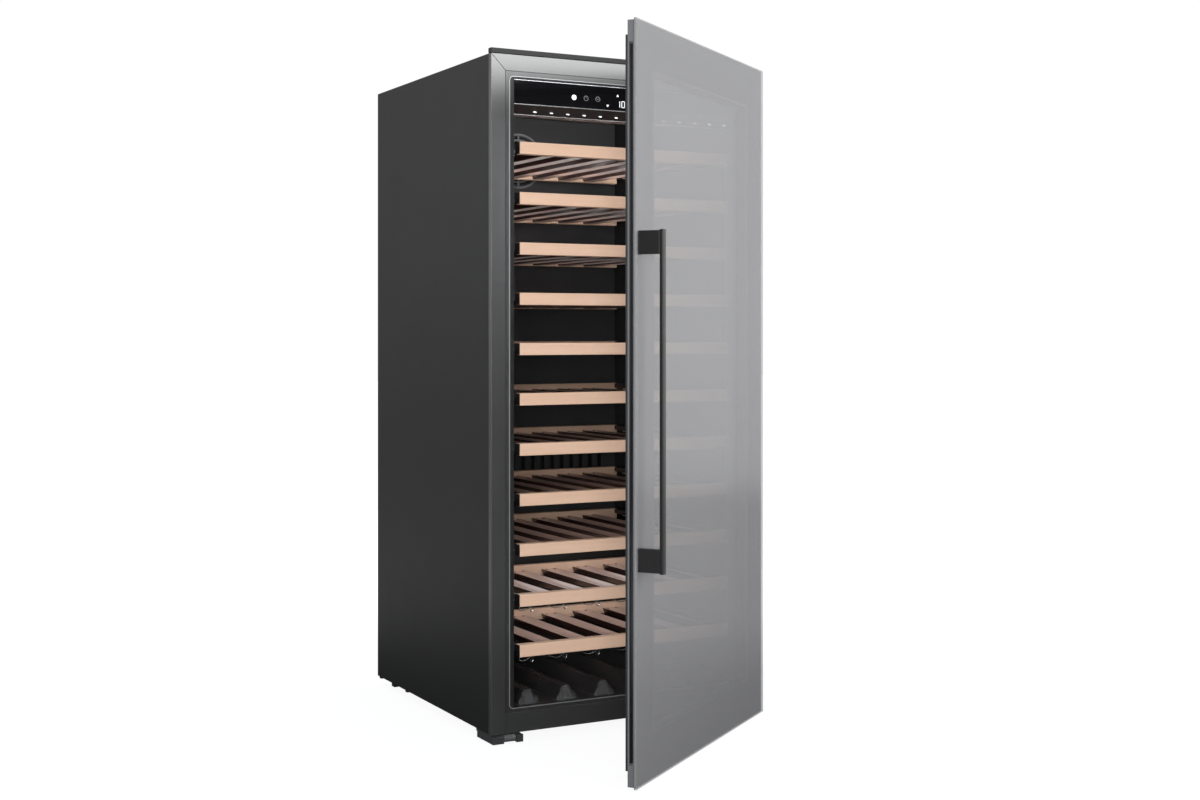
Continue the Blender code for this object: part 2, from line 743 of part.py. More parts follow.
def compressor():
    """A domed pot on a plate that stands on the base."""
    low = BASE_SHEET + COMPRESSOR_LIFT
    dome = COMPRESSOR_RADIUS
    profile = [
        (0.0, COMPRESSOR_HEIGHT),
        (dome * 0.55, COMPRESSOR_HEIGHT - 0.006),
        (dome * 0.9, COMPRESSOR_HEIGHT - 0.025),
        (dome * 0.97, COMPRESSOR_HEIGHT * 0.55),
        (dome, COMPRESSOR_HEIGHT * 0.5),
        (dome * 0.97, COMPRESSOR_HEIGHT * 0.45),
        (dome * 0.9, low + 0.015),
        (dome * 0.6, low),
        (0.0, low),
    ]
    pot = turned("compressor", profile, (COMPRESSOR_X, MACHINE_Y, 0.0), "gloss black")
    width, depth = COMPRESSOR_PLATE
    plate_x = (COMPRESSOR_X - width / 2, COMPRESSOR_X + width / 2)
    plate_y = (MACHINE_Y - depth / 2, MACHINE_Y + depth / 2)
    join(pot, [(plate_x, plate_y, (BASE_SHEET + GAP, low + COMPRESSOR_LIFT / 3))])


def condenser():
    """One tube that runs to and fro up the machine compartment."""
    coil = bpy.data.curves.new("condenser", "CURVE")
    coil.dimensions = "3D"
    coil.bevel_depth = COIL_TUBE_RADIUS
    coil.bevel_resolution = 1
    coil.use_fill_caps = True
    points = []
    radius = COIL_PITCH / 2
    for i in range(COIL_PASSES):
        z = COIL_BOTTOM + i * COIL_PITCH
        outward = 1 if i % 2 == 0 else -1
        end = outward * COIL_LENGTH / 2
        points += [(-end, z), (end, z)]
        if i < COIL_PASSES - 1:
            for step in (1, 2, 3):
                angle = math.pi * step / 4
                x = end + outward * radius * math.sin(angle)
                points.append((x, z + radius * (1 - math.cos(angle))))
    spline = coil.splines.new("POLY")
    spline.points.add(len(points) - 1)
    for point, (x, z) in zip(spline.points, points):
        point.co = (x, 0.0, z, 1.0)
    tube = place(bpy.data.objects.new("condenser", coil), "copper")
    tube.location = (COIL_X, MACHINE_Y, 0.0)


def mains_inlet():
    """A socket for the mains lead, open to the back."""
    width, depth, height = INLET_SIZE
    left = -RIGHT + INLET_FROM_SIDE
    low = BASE_SHEET + GAP + INLET_LIFT
    x = (left, left + width)
    y = (BACK - depth, BACK)
    z = (low, low + height)
    inlet = box("mains_inlet", x, y, z, "black plastic")
    cut(inlet, [(inset(x, INLET_WALL * 2), (y[0] + INLET_WALL, BACK + PAST), inset(z, INLET_WALL))])
    join(inlet, [(inset(x, INLET_WALL), inset(y, INLET_WALL), (BASE_SHEET + GAP, low + OVERLAP))])


# ---------------------------------------------------------------- underside


def feet():
    corners = {
        "front_left_foot": (-1, -1),
        "front_right_foot": (1, -1),
        "rear_left_foot": (-1, 1),
        "rear_right_foot": (1, 1),
    }
    for name, (side, end) in corners.items():
        x = side * (RIGHT - FOOT_INSET_X)
        y = end * (CABINET_DEPTH / 2 - FOOT_INSET_Y)
        profile = [
            (0.0, -GAP),
            (FOOT_RADIUS * 0.6, -GAP),
            (FOOT_RADIUS * 0.6, -FOOT_HEIGHT * 0.55),
            (FOOT_RADIUS, -FOOT_HEIGHT * 0.7),
            (FOOT_RADIUS, -FOOT_HEIGHT),
            (0.0, -FOOT_HEIGHT),
        ]
        turned(name, profile, (x, y, 0.0), "black plastic", steps=16)


def support_roller():
    """A bracket under the free corner with a roller that lifts the closing door level."""
    top = -BRACKET_TOP
    low = top - BRACKET_HEIGHT
    x = (-RIGHT, -RIGHT + BRACKET_WIDTH)
    y = from_front(-BRACKET_REACH, BRACKET_DEPTH - BRACKET_REACH)
    bracket = box("roller_bracket", x, y, (low, top), "graphite sheet")
    plate_y = from_front(BRACKET_PLATE_FRONT, BRACKET_DEPTH - BRACKET_REACH + BRACKET_PLATE_LONGER)
    join(bracket, [(inset(x, BRACKET_PLATE_NARROWER), plate_y, (top - BRACKET_PLATE, -GAP))])
    centre_x = -RIGHT + ROLLER_X
    half = ROLLER_LENGTH / 2
    slot_x = (centre_x - half - RUNNING_GAP, centre_x + half + RUNNING_GAP)
    roller_y = FRONT - BRACKET_REACH + ROLLER_RADIUS + ROLLER_PROUD
    roller_z = top - BRACKET_HEIGHT / 2 + ROLLER_RAISE
    reach = ROLLER_RADIUS + RUNNING_GAP
    cut(bracket, [(slot_x, (roller_y - PAST, roller_y + reach), inset((low, top), -PAST))])
    pin = turned(
        "roller_bracket_pin",
        cylinder_profile(ROLLER_PIN_RADIUS, ROLLER_LENGTH + 2 * ROLLER_PIN_GRIP),
        (centre_x, roller_y, roller_z),
        along="X",
        steps=12,
    )
    combine(bracket, pin, "UNION")
    bore = ROLLER_PIN_RADIUS + GAP
    profile = [
        (ROLLER_RADIUS - ROLLER_CHAMFER, half),
        (ROLLER_RADIUS, half - ROLLER_CHAMFER),
        (ROLLER_RADIUS, -half + ROLLER_CHAMFER),
        (ROLLER_RADIUS - ROLLER_CHAMFER, -half),
        (bore, -half),
        (bore, half),
    ]
    turned("support_roller", profile, (centre_x, roller_y, roller_z), "black plastic", "X", 20, closed=True)


# ---------------------------------------------------------------- door


def door_ring(name, x_inset, z_inset, y, window, look, hang_on):
    """A rectangular ring in the plane of the closed door, with insets from the glass's edges."""
    ring = box(
        name,
        inset((-DOOR_WIDTH / 2, DOOR_WIDTH / 2), x_inset),
        y,
        inset((DOOR_BOTTOM, DOOR_TOP), z_inset),
        look,
        hang_on,
    )
    window_x = inset((-DOOR_WIDTH / 2, DOOR_WIDTH / 2), window)
    window_z = inset((DOOR_BOTTOM, DOOR_TOP), window)
    cut(ring, [(window_x, inset(y, -PAST), window_z)], hang_on)
    return ring


def door():
    hinge = axis_empty("door_hinge", (HINGE_X, HINGE_Y, 0.0), OPEN_ANGLE)
    glass_y = (DOOR_FACE, DOOR_FACE + DOOR_GLASS)
    glass = box(
        "door_glass",
        (-DOOR_WIDTH / 2, DOOR_WIDTH / 2),
        glass_y,
        (DOOR_BOTTOM, DOOR_TOP),
        "grey glass",
        hinge,
    )
    round_edges(glass, 0.0006)

    frame_y = (glass_y[1] + GAP, glass_y[1] + GAP + DOOR_FRAME_THICKNESS)
    frame = door_ring(
        "door_frame", DOOR_FRAME_INSET, DOOR_FRAME_INSET, frame_y, WINDOW_BORDER, "frame sheet", hinge
    )
    carrier_y = (frame_y[1] - OVERLAP, frame_y[1] + CARRIER_THICKNESS)
    carrier_x = inset((-DOOR_WIDTH / 2, DOOR_WIDTH / 2), CARRIER_INSET)
    carrier_z = inset((DOOR_BOTTOM, DOOR_TOP), CARRIER_INSET)
    strip = WINDOW_BORDER - CARRIER_INSET
    join(
        frame,
        [
            ((carrier_x[0], carrier_x[0] + strip), carrier_y, carrier_z),
            ((carrier_x[1] - strip, carrier_x[1]), carrier_y, carrier_z),
        ],
        hinge,
    )
    across = inset(carrier_x, strip - OVERLAP)
    join(
        frame,
        [
            (across, carrier_y, (carrier_z[0], carrier_z[0] + strip)),
            (across, carrier_y, (carrier_z[1] - strip, carrier_z[1])),
        ],
        hinge,
    )
    pane_x = inset((-DOOR_WIDTH / 2, DOOR_WIDTH / 2), WINDOW_BORDER - PANE_LAP)
    pane_z = inset((DOOR_BOTTOM, DOOR_TOP), WINDOW_BORDER - PANE_LAP)
    rebate = (frame_y[1], carrier_y[1] + PAST)
    cut(frame, [(inset(pane_x, -GAP), rebate, inset(pane_z, -GAP))], hinge)
    channel_y = inset(frame_y, (DOOR_FRAME_THICKNESS - CHANNEL_WIDTH) / 2)
    channel_z = inset((DOOR_BOTTOM, DOOR_TOP), CORNER_LENGTH)
    edge = DOOR_WIDTH / 2 - DOOR_FRAME_INSET
    channels = [
        ((-edge - PAST, -edge + CHANNEL_DEPTH), channel_y, channel_z),
        ((edge - CHANNEL_DEPTH, edge + PAST), channel_y, channel_z),
    ]
    cut(frame, channels, hinge)
    hinge_leaves(frame, frame_y[1], hinge)

    box(
        "door_inner_pane",
        pane_x,
        (frame_y[1] + GAP, frame_y[1] + GAP + INNER_PANE),
        pane_z,
        "grey glass",
        hinge,
    )
    gasket_y = (carrier_y[1] + GAP, carrier_y[1] + GAP + GASKET_THICKNESS)
    gasket = door_ring(
        "door_gasket",
        CARRIER_INSET,
        CARRIER_INSET,
        gasket_y,
        CARRIER_INSET + GASKET_WIDTH,
        "rubber",
        hinge,
    )
    round_edges(gasket, 0.0015)
    handle(hinge)


def hinge_leaves(frame, leaf_y, hinge):
    """The hinges' leaves and the ramp that meets the roller, all on the back of the door's frame."""
    gasket_top = DOOR_TOP - CARRIER_INSET
    gasket_bottom = DOOR_BOTTOM + CARRIER_INSET
    leaf_x = (HINGE_X - LEAF_FROM_AXIS - LEAF_WIDTH, HINGE_X - LEAF_FROM_AXIS)
    depth = (leaf_y - OVERLAP, leaf_y + LEAF_THICKNESS)
    top_z = (gasket_top + LEAF_MARGIN, DOOR_TOP - DOOR_FRAME_INSET - LEAF_FROM_TOP)
    bottom_z = (DOOR_BOTTOM + DOOR_FRAME_INSET + LEAF_FROM_BOTTOM, gasket_bottom - LEAF_MARGIN)
    ramp_start = -DOOR_WIDTH / 2 + RAMP_FROM_EDGE
    ramp_top = gasket_bottom - RAMP_BELOW_GASKET
    ramp = (
        (ramp_start, ramp_start + RAMP_WIDTH),
        (leaf_y - OVERLAP, leaf_y + RAMP_REACH),
        (ramp_top - RAMP_THICKNESS, ramp_top),
    )
    join(frame, [(leaf_x, depth, top_z), (leaf_x, depth, bottom_z), ramp], hinge)


def hinge_brackets():
    """The cabinet's half of each concealed hinge, on the front frame above and below the gasket."""
    right = HINGE_X - HINGE_BRACKET_FROM_AXIS
    x = (right - HINGE_BRACKET_WIDTH, right)
    y = from_front(-GAP - HINGE_BRACKET_THICKNESS, -GAP)
    top_z = (DOOR_TOP - CARRIER_INSET + LEAF_MARGIN, CABINET_HEIGHT - HINGE_BRACKET_FROM_TOP)
    bottom_z = (HINGE_BRACKET_FROM_BASE, DOOR_BOTTOM + CARRIER_INSET - LEAF_MARGIN)
    for name, z in (("top_hinge_bracket", top_z), ("bottom_hinge_bracket", bottom_z)):
        bracket = box(name, x, y, z, "steel")
        round_edges(bracket, 0.0008)


def handle(hinge):
    """A bar that stands off the glass on two posts near its free edge."""
    near = -DOOR_WIDTH / 2 + HANDLE_INSET
    bar_x = (near, near + HANDLE_WIDTH)
    inner_face = DOOR_FACE - HANDLE_STANDOFF
    bar_z = (HANDLE_BOTTOM, HANDLE_BOTTOM + HANDLE_LENGTH)
    bar_y = (inner_face - HANDLE_THICKNESS, inner_face)
    bar = box("handle_bar", bar_x, bar_y, bar_z, "black plastic", hinge)
    round_edges(bar, 0.001)
    post_x = inset(bar_x, 0.0008)
    post_y = (inner_face + GAP, DOOR_FACE - GAP)
    low_z = (bar_z[0] + POST_INSET, bar_z[0] + POST_INSET + POST_HEIGHT)
    high_z = (bar_z[1] - POST_INSET - POST_HEIGHT, bar_z[1] - POST_INSET)
    for name, z in (("handle_post_bottom", low_z), ("handle_post_top", high_z)):
        post = box(name, post_x, post_y, z, "black plastic", hinge)
        round_edges(post, 0.0008)


def stand_on_first_foot():
    """Move everything so that the front left foot's pad is at the origin."""
    pad = Vector((-RIGHT + FOOT_INSET_X, FRONT + FOOT_INSET_Y, -FOOT_HEIGHT))
    for obj in (*parts.objects, *cutters.objects):
        if obj.parent is None:
            obj.location -= pad


def main():
    clear_scene()
    outer_panels()
    front_frame()
    top_trim()
    inner_liner()
    insulation_foam()
    control_panel()
    duct_panel()
    fan()
    charcoal_filter()
    floor_tray()
    shelf_racks()
    shelves()
    evaporator()
    compressor()
    condenser()
    mains_inlet()
    feet()
    support_roller()
    door()
    hinge_brackets()
    stand_on_first_foot()


main()
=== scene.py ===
"""Looks for a built-in wine cooler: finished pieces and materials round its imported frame.

Everything is in metres. The front faces -Y and the door stands open on its hinge at the right. Pieces of
the door are modelled on the closed door and then turned with it.
"""

import json
import math

import bpy
from mathutils import Matrix, Vector


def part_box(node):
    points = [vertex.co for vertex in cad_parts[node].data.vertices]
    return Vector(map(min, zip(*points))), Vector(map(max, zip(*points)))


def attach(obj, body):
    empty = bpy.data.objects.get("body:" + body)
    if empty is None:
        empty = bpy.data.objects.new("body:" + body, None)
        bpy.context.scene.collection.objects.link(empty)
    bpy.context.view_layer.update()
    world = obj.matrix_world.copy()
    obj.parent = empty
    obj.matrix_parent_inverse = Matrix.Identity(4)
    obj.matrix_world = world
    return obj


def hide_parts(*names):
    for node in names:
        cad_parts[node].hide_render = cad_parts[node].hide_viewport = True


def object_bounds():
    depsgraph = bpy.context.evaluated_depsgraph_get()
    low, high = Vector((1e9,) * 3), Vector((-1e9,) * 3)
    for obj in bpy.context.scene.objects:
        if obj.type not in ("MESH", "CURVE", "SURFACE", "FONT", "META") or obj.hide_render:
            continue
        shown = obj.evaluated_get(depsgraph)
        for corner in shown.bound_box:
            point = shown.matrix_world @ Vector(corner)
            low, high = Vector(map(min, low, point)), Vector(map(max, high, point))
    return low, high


bl_info = {
    "name": "Wine Cooler Maker",
    "version": (1, 0, 0),
    "blender": (4, 5, 0),
    "location": "3D View > Sidebar > Wine Cooler",
    "description": "Models the finished pieces of a built-in wine cooler round its packed frame",
    "category": "Object",
}

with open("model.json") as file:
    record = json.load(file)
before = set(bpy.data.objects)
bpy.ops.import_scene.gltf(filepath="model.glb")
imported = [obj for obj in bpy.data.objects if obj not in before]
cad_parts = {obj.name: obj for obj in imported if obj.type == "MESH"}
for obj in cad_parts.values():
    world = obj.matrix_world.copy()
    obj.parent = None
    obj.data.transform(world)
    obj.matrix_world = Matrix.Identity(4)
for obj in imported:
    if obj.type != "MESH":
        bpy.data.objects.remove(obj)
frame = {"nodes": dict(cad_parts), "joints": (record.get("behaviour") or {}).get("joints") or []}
CAD_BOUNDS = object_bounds()

# Places read from the frame
FRAME_LOW, FRAME_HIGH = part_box("front_frame")
HOUSING_LOW, HOUSING_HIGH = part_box("control_housing")
DISPLAY_LOW, DISPLAY_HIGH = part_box("control_glass")
TRAY_LOW, TRAY_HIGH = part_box("floor_tray")
REAR_LOW, REAR_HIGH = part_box("rear_panel")
MIDDLE = (FRAME_LOW.x + FRAME_HIGH.x) / 2
FRONT = FRAME_LOW.y

# The door's turn at rest
DOOR_JOINT = next(joint for joint in frame["joints"] if joint["name"] == "door_hinge")
HINGE = Vector(DOOR_JOINT["pos_m"])
OPEN_ANGLE = -math.radians(DOOR_JOINT["range_deg"][0])
DOOR_TURN = Matrix.Translation(HINGE) @ Matrix.Rotation(OPEN_ANGLE, 4, "Z") @ Matrix.Translation(-HINGE)

LONG_SHELVES = range(1, 10)
SHORT_SHELVES = range(10, 12)

# The gap between two pieces that would touch
HAIR = 0.0002

# The camera, measured from the cabinet's lower front left corner
CAMERA_FROM_CORNER = Vector((-1.1827, -2.6068, 0.7170))
CAMERA_TURN = math.radians(-28.27)
CAMERA_LENS = 48.31
CAMERA_SHIFT = -0.0570


# ---------------------------------------------------------------- modelling helpers


def work_on(piece):
    """Make a piece the only one selected, and the active one."""
    bpy.ops.object.select_all(action="DESELECT")
    piece.select_set(True)
    bpy.context.view_layer.objects.active = piece


def settle(piece):
    """Put a piece's place, turn and size into its mesh."""
    work_on(piece)
    bpy.ops.object.transform_apply(location=True, rotation=True, scale=True)


def modify(piece, kind, **settings):
    """Add a modifier with these settings and apply it."""
    work_on(piece)
    modifier = piece.modifiers.new(kind.title(), kind)
    for setting, value in settings.items():
        setattr(modifier, setting, value)
    bpy.ops.object.modifier_apply(modifier=modifier.name)


def smooth(piece, angle=35.0):
    """Shade smooth across edges that bend less than the angle in degrees."""
    work_on(piece)
    bpy.ops.object.shade_smooth_by_angle(angle=math.radians(angle))


def soften(piece, width, segments=2):
    """Round the sharp edges and keep the faces between them flat."""
    modify(piece, "BEVEL", width=width, segments=segments, limit_method="ANGLE")
    smooth(piece)
    modify(piece, "WEIGHTED_NORMAL", keep_sharp=True)


def block(name, low, high):
    """A box from its low corner to its high corner."""
    bpy.ops.object.select_all(action="DESELECT")
    low, high = Vector(low), Vector(high)
    bpy.ops.mesh.primitive_cube_add(size=1.0, location=(low + high) / 2)
    piece = bpy.context.object
    piece.name = name
    piece.scale = high - low
    settle(piece)
    return piece


def rod(name, centre, radius, length, along="Z", vertices=32):
    """A round bar along Y or Z."""
    bpy.ops.object.select_all(action="DESELECT")
    turn = {"Y": (math.pi / 2, 0.0, 0.0), "Z": (0.0, 0.0, 0.0)}[along]
    bpy.ops.mesh.primitive_cylinder_add(
        vertices=vertices, radius=radius, depth=length, location=centre, rotation=turn
    )
    piece = bpy.context.object
    piece.name = name
    settle(piece)
    return piece


def slice_off(piece, point, normal):
    """Cut away the side that the normal points to and close the cut."""
    work_on(piece)
    bpy.ops.object.mode_set(mode="EDIT")
    bpy.ops.mesh.select_all(action="SELECT")
    bpy.ops.mesh.bisect(plane_co=point, plane_no=normal, use_fill=True, clear_outer=True)
    bpy.ops.object.mode_set(mode="OBJECT")


def ring(name, low, high, border):
    """A flat picture frame across the front, from low.y back to high.y."""
    bpy.ops.object.select_all(action="DESELECT")
    low, high = Vector(low), Vector(high)
    centre = (low + high) / 2
    bpy.ops.mesh.primitive_plane_add(
        size=1.0, location=(centre.x, low.y, centre.z), rotation=(math.pi / 2, 0.0, 0.0)
    )
    piece = bpy.context.object
    piece.name = name
    piece.scale = (high.x - low.x, high.z - low.z, 1.0)
    settle(piece)
    bpy.ops.object.mode_set(mode="EDIT")
    bpy.ops.mesh.select_all(action="SELECT")
    bpy.ops.mesh.inset(thickness=border)
    bpy.ops.mesh.delete(type="FACE")
    bpy.ops.object.mode_set(mode="OBJECT")
    modify(piece, "SOLIDIFY", thickness=high.y - low.y, offset=-1.0)
    return piece


def carve(piece, cutter):
    """Cut one piece's shape out of another."""
    modify(piece, "BOOLEAN", object=cutter, operation="DIFFERENCE", solver="EXACT")
    bpy.data.objects.remove(cutter, do_unlink=True)


def merge(name, pieces):
    """Join pieces into one object."""
    work_on(pieces[0])
    for piece in pieces:
        piece.select_set(True)
    bpy.ops.object.join()
    merged = bpy.context.object
    merged.name = name
    return merged


def copy_of(piece, name, shift):
    """A copy with its own mesh, moved by the shift."""
    copy = piece.copy()
    copy.data = piece.data.copy()
    copy.name = name
    bpy.context.scene.collection.objects.link(copy)
    copy.data.transform(Matrix.Translation(shift))
    return copy


def row_of(piece, name, shifts):
    """Copies of a piece at each shift, merged into one object in place of the piece."""
    copies = [copy_of(piece, name, shift) for shift in shifts]
    bpy.data.objects.remove(piece, do_unlink=True)
    return merge(name, copies)


def tube(name, points, radius):
    """A round wire along smooth points, made a mesh."""
    path = bpy.data.curves.new(name, "CURVE")
    path.dimensions = "3D"
    path.bevel_depth = radius
    path.bevel_resolution = 3
    path.use_fill_caps = True
    spline = path.splines.new("POLY")
    spline.points.add(len(points) - 1)
    for point, place in zip(spline.points, points):
        point.co = (*place, 1.0)
    wire = bpy.data.objects.new(name, path)
    bpy.context.scene.collection.objects.link(wire)
    work_on(wire)
    bpy.ops.object.convert(target="MESH")
    wire = bpy.context.object
    smooth(wire, 60.0)
    return wire


def finish(piece, look, body, stands_for=()):
    """Give a piece its material, let it ride on its body and hide the nodes that it stands for."""
    piece.data.materials.clear()
    piece.data.materials.append(material(look))
    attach(piece, body)
    if stands_for:
        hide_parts(*stands_for)
    return piece


def finish_on_door(piece, look, stands_for=()):
    """Turn a piece that was modelled on the closed door with the door, and finish it."""
    piece.data.transform(DOOR_TURN)
    return finish(piece, look, "door", stands_for)


def closed_box(node):
    """The box of a door node with the door closed."""
    back = DOOR_TURN.inverted()
    corners = [back @ vertex.co for vertex in frame["nodes"][node].data.vertices]
    low = Vector([min(corner[axis] for corner in corners) for axis in range(3)])
    high = Vector([max(corner[axis] for corner in corners) for axis in range(3)])
    return low, high


def coat_node(look, *nodes):
    """Give CAD nodes, which keep their shape, a finished material."""
    for node in nodes:
        mesh = frame["nodes"][node].data
        mesh.materials.clear()
        mesh.materials.append(material(look))


# ---------------------------------------------------------------- shader groups


def new_group(name, inputs, outputs):
    """An empty node group, its input node and its output node."""
    group = bpy.data.node_groups.new(name, "ShaderNodeTree")
    for label, kind, value in inputs:
        socket = group.interface.new_socket(name=label, in_out="INPUT", socket_type=kind)
        if value is not None:
            socket.default_value = value
    for label, kind in outputs:
        group.interface.new_socket(name=label, in_out="OUTPUT", socket_type=kind)
    return group, group.nodes.new("NodeGroupInput"), group.nodes.new("NodeGroupOutput")


def feed(tree, value, socket):
    """Give a socket a link or a plain value."""
    if isinstance(value, bpy.types.NodeSocket):
        tree.links.new(value, socket)
    else:
        socket.default_value = value


def math_node(tree, operation, *values):
    """A Math node whose inputs are sockets or numbers."""
    node = tree.nodes.new("ShaderNodeMath")
    node.operation = operation
    for socket, value in zip(node.inputs, values):
        feed(tree, value, socket)
    return node.outputs[0]


def noise_node(tree, vector, scale, detail=3.0, distortion=0.0):
    """The value of a Noise Texture."""
    node = tree.nodes.new("ShaderNodeTexNoise")
    feed(tree, vector, node.inputs["Vector"])
    feed(tree, scale, node.inputs["Scale"])
    node.inputs["Detail"].default_value = detail
    node.inputs["Distortion"].default_value = distortion
    return node.outputs["Fac"]


def mix_colours(tree, share, first, second):
    """The colour that is the second one to the given share."""
    node = tree.nodes.new("ShaderNodeMix")
    node.data_type = "RGBA"
    for socket, value in ((node.inputs[0], share), (node.inputs[6], first), (node.inputs[7], second)):
        feed(tree, value, socket)
    return node.outputs[2]


def surface_group():
    """Fine grain with slow changes of tone and polish, for paint, plastic, rubber and metal."""
    name = "Fine surface"
    if name in bpy.data.node_groups:
        return bpy.data.node_groups[name]
    group, given, result = new_group(
        name,
        (
            ("Vector", "NodeSocketVector", None),
            ("Colour", "NodeSocketColor", (0.5, 0.5, 0.5, 1.0)),
            ("Grain Scale", "NodeSocketFloat", 900.0),
            ("Mottle", "NodeSocketFloat", 0.1),
            ("Roughness", "NodeSocketFloat", 0.4),
            ("Spread", "NodeSocketFloat", 0.05),
        ),
        (("Colour", "NodeSocketColor"), ("Roughness", "NodeSocketFloat"), ("Height", "NodeSocketFloat")),
    )
    grain = noise_node(group, given.outputs["Vector"], given.outputs["Grain Scale"], 2.0)
    slow = noise_node(group, given.outputs["Vector"], 7.0, 5.0, 0.4)
    swing = math_node(group, "SUBTRACT", slow, 0.5)
    tone = math_node(group, "MULTIPLY_ADD", swing, given.outputs["Mottle"], 1.0)
    shade = group.nodes.new("ShaderNodeHueSaturation")
    group.links.new(tone, shade.inputs["Value"])
    group.links.new(given.outputs["Colour"], shade.inputs["Color"])
    polish = math_node(group, "MULTIPLY", swing, given.outputs["Spread"])
    rough = math_node(group, "ADD", polish, given.outputs["Roughness"])
    group.links.new(shade.outputs["Color"], result.inputs["Colour"])
    group.links.new(rough, result.inputs["Roughness"])
    group.links.new(grain, result.inputs["Height"])
    return group


def timber_group():
    """Wood whose grain runs along the vector's X: soft bands, fine streaks and short pores."""
    name = "Timber"
    if name in bpy.data.node_groups:
        return bpy.data.node_groups[name]
    group, given, result = new_group(
        name,
        (
            ("Vector", "NodeSocketVector", None),
            ("Light", "NodeSocketColor", (0.8, 0.6, 0.4, 1.0)),
            ("Dark", "NodeSocketColor", (0.5, 0.3, 0.2, 1.0)),
            ("Pore Strength", "NodeSocketFloat", 0.35),
            ("Roughness", "NodeSocketFloat", 0.45),
        ),
        (("Colour", "NodeSocketColor"), ("Roughness", "NodeSocketFloat"), ("Height", "NodeSocketFloat")),
    )

    def stretched(along, across):
        """The vector at one scale along the grain and another across it."""
        mapping = group.nodes.new("ShaderNodeMapping")
        mapping.inputs["Scale"].default_value = (along, across, across)
        group.links.new(given.outputs["Vector"], mapping.inputs["Vector"])
        return mapping.outputs["Vector"]

    bands = noise_node(group, stretched(2.2, 38.0), 1.0, 4.0, 0.6)
    streaks = noise_node(group, stretched(14.0, 520.0), 1.0, 3.0, 0.2)
    pores = noise_node(group, stretched(130.0, 1900.0), 1.0, 2.0)
    ramp = group.nodes.new("ShaderNodeValToRGB")
    ramp.color_ramp.elements[0].position = 0.58
    ramp.color_ramp.elements[1].position = 0.68
    group.links.new(pores, ramp.inputs["Fac"])
    figure = math_node(group, "MULTIPLY_ADD", streaks, 0.35, math_node(group, "MULTIPLY", bands, 0.65))
    body = mix_colours(group, figure, given.outputs["Light"], given.outputs["Dark"])
    pore_share = math_node(group, "MULTIPLY", ramp.outputs["Color"], given.outputs["Pore Strength"])
    colour = mix_colours(group, pore_share, body, given.outputs["Dark"])
    rough = math_node(group, "MULTIPLY_ADD", streaks, 0.12, given.outputs["Roughness"])
    height = math_node(group, "SUBTRACT", streaks, ramp.outputs["Color"])
    group.links.new(colour, result.inputs["Colour"])
    group.links.new(rough, result.inputs["Roughness"])
    group.links.new(height, result.inputs["Height"])
    return group


# ---------------------------------------------------------------- materials


def start_material(name):
    """A new material with its node tree and its Principled shader."""
    made = bpy.data.materials.new(name)
    made.use_nodes = True
    return made, made.node_tree, made.node_tree.nodes["Principled BSDF"]


def bump_into(tree, height, shader, distance):
    """Raise the surface by a height in grooves of the given depth."""
    bump = tree.nodes.new("ShaderNodeBump")
    bump.inputs["Distance"].default_value = distance
    tree.links.new(height, bump.inputs["Height"])
    tree.links.new(bump.outputs["Normal"], shader.inputs["Normal"])


def surface(name, colour, roughness, metallic=0.0, grain=900.0, depth=0.00001, mottle=0.12, spread=0.08,
            coat=0.0, specular=0.5):
    """A painted, moulded or metal surface with fine grain."""
    made, tree, shader = start_material(name)
    place = tree.nodes.new("ShaderNodeTexCoord")
    fine = tree.nodes.new("ShaderNodeGroup")
    fine.node_tree = surface_group()
    tree.links.new(place.outputs["Object"], fine.inputs["Vector"])
    fine.inputs["Colour"].default_value = (*colour, 1.0)
    fine.inputs["Grain Scale"].default_value = grain
    fine.inputs["Mottle"].default_value = mottle
    fine.inputs["Roughness"].default_value = roughness
    fine.inputs["Spread"].default_value = spread
    tree.links.new(fine.outputs["Colour"], shader.inputs["Base Color"])
    tree.links.new(fine.outputs["Roughness"], shader.inputs["Roughness"])
    shader.inputs["Metallic"].default_value = metallic
    shader.inputs["Specular IOR Level"].default_value = specular
    shader.inputs["Coat Weight"].default_value = coat
    shader.inputs["Coat Roughness"].default_value = 0.12
    bump_into(tree, fine.outputs["Height"], shader, depth)
    return made


def timber(name, light, dark, roughness, along="X", pores=0.35, coat=0.0, sides=None):
    """Wood along X or Y; when sides is given, the faces that look sideways take that colour, a painted shade
    that makes them darker than the faces that look up or down.
    """
    made, tree, shader = start_material(name)
    place = tree.nodes.new("ShaderNodeTexCoord")
    turn = tree.nodes.new("ShaderNodeMapping")
    if along == "Y":
        turn.inputs["Rotation"].default_value = (0.0, 0.0, math.pi / 2)
    wood = tree.nodes.new("ShaderNodeGroup")
    wood.node_tree = timber_group()
    tree.links.new(place.outputs["Object"], turn.inputs["Vector"])
    tree.links.new(turn.outputs["Vector"], wood.inputs["Vector"])
    wood.inputs["Light"].default_value = (*light, 1.0)
    wood.inputs["Dark"].default_value = (*dark, 1.0)
    wood.inputs["Pore Strength"].default_value = pores
    wood.inputs["Roughness"].default_value = roughness
    colour = wood.outputs["Colour"]
    # Painted shade: sideways faces, such as the slats' sides in the gaps between them, are darkened to the
    # sides colour
    if sides:
        facing = tree.nodes.new("ShaderNodeSeparateXYZ")
        tree.links.new(place.outputs["Normal"], facing.inputs["Vector"])
        level = tree.nodes.new("ShaderNodeMapRange")
        level.inputs["From Min"].default_value = 0.45
        level.inputs["From Max"].default_value = 0.85
        tree.links.new(math_node(tree, "ABSOLUTE", facing.outputs["Z"]), level.inputs["Value"])
        colour = mix_colours(tree, level.outputs["Result"], (*sides, 1.0), colour)
    tree.links.new(colour, shader.inputs["Base Color"])
    tree.links.new(wood.outputs["Roughness"], shader.inputs["Roughness"])
    shader.inputs["Coat Weight"].default_value = coat
    shader.inputs["Coat Roughness"].default_value = 0.15
    bump_into(tree, wood.outputs["Height"], shader, 0.00012)
    return made


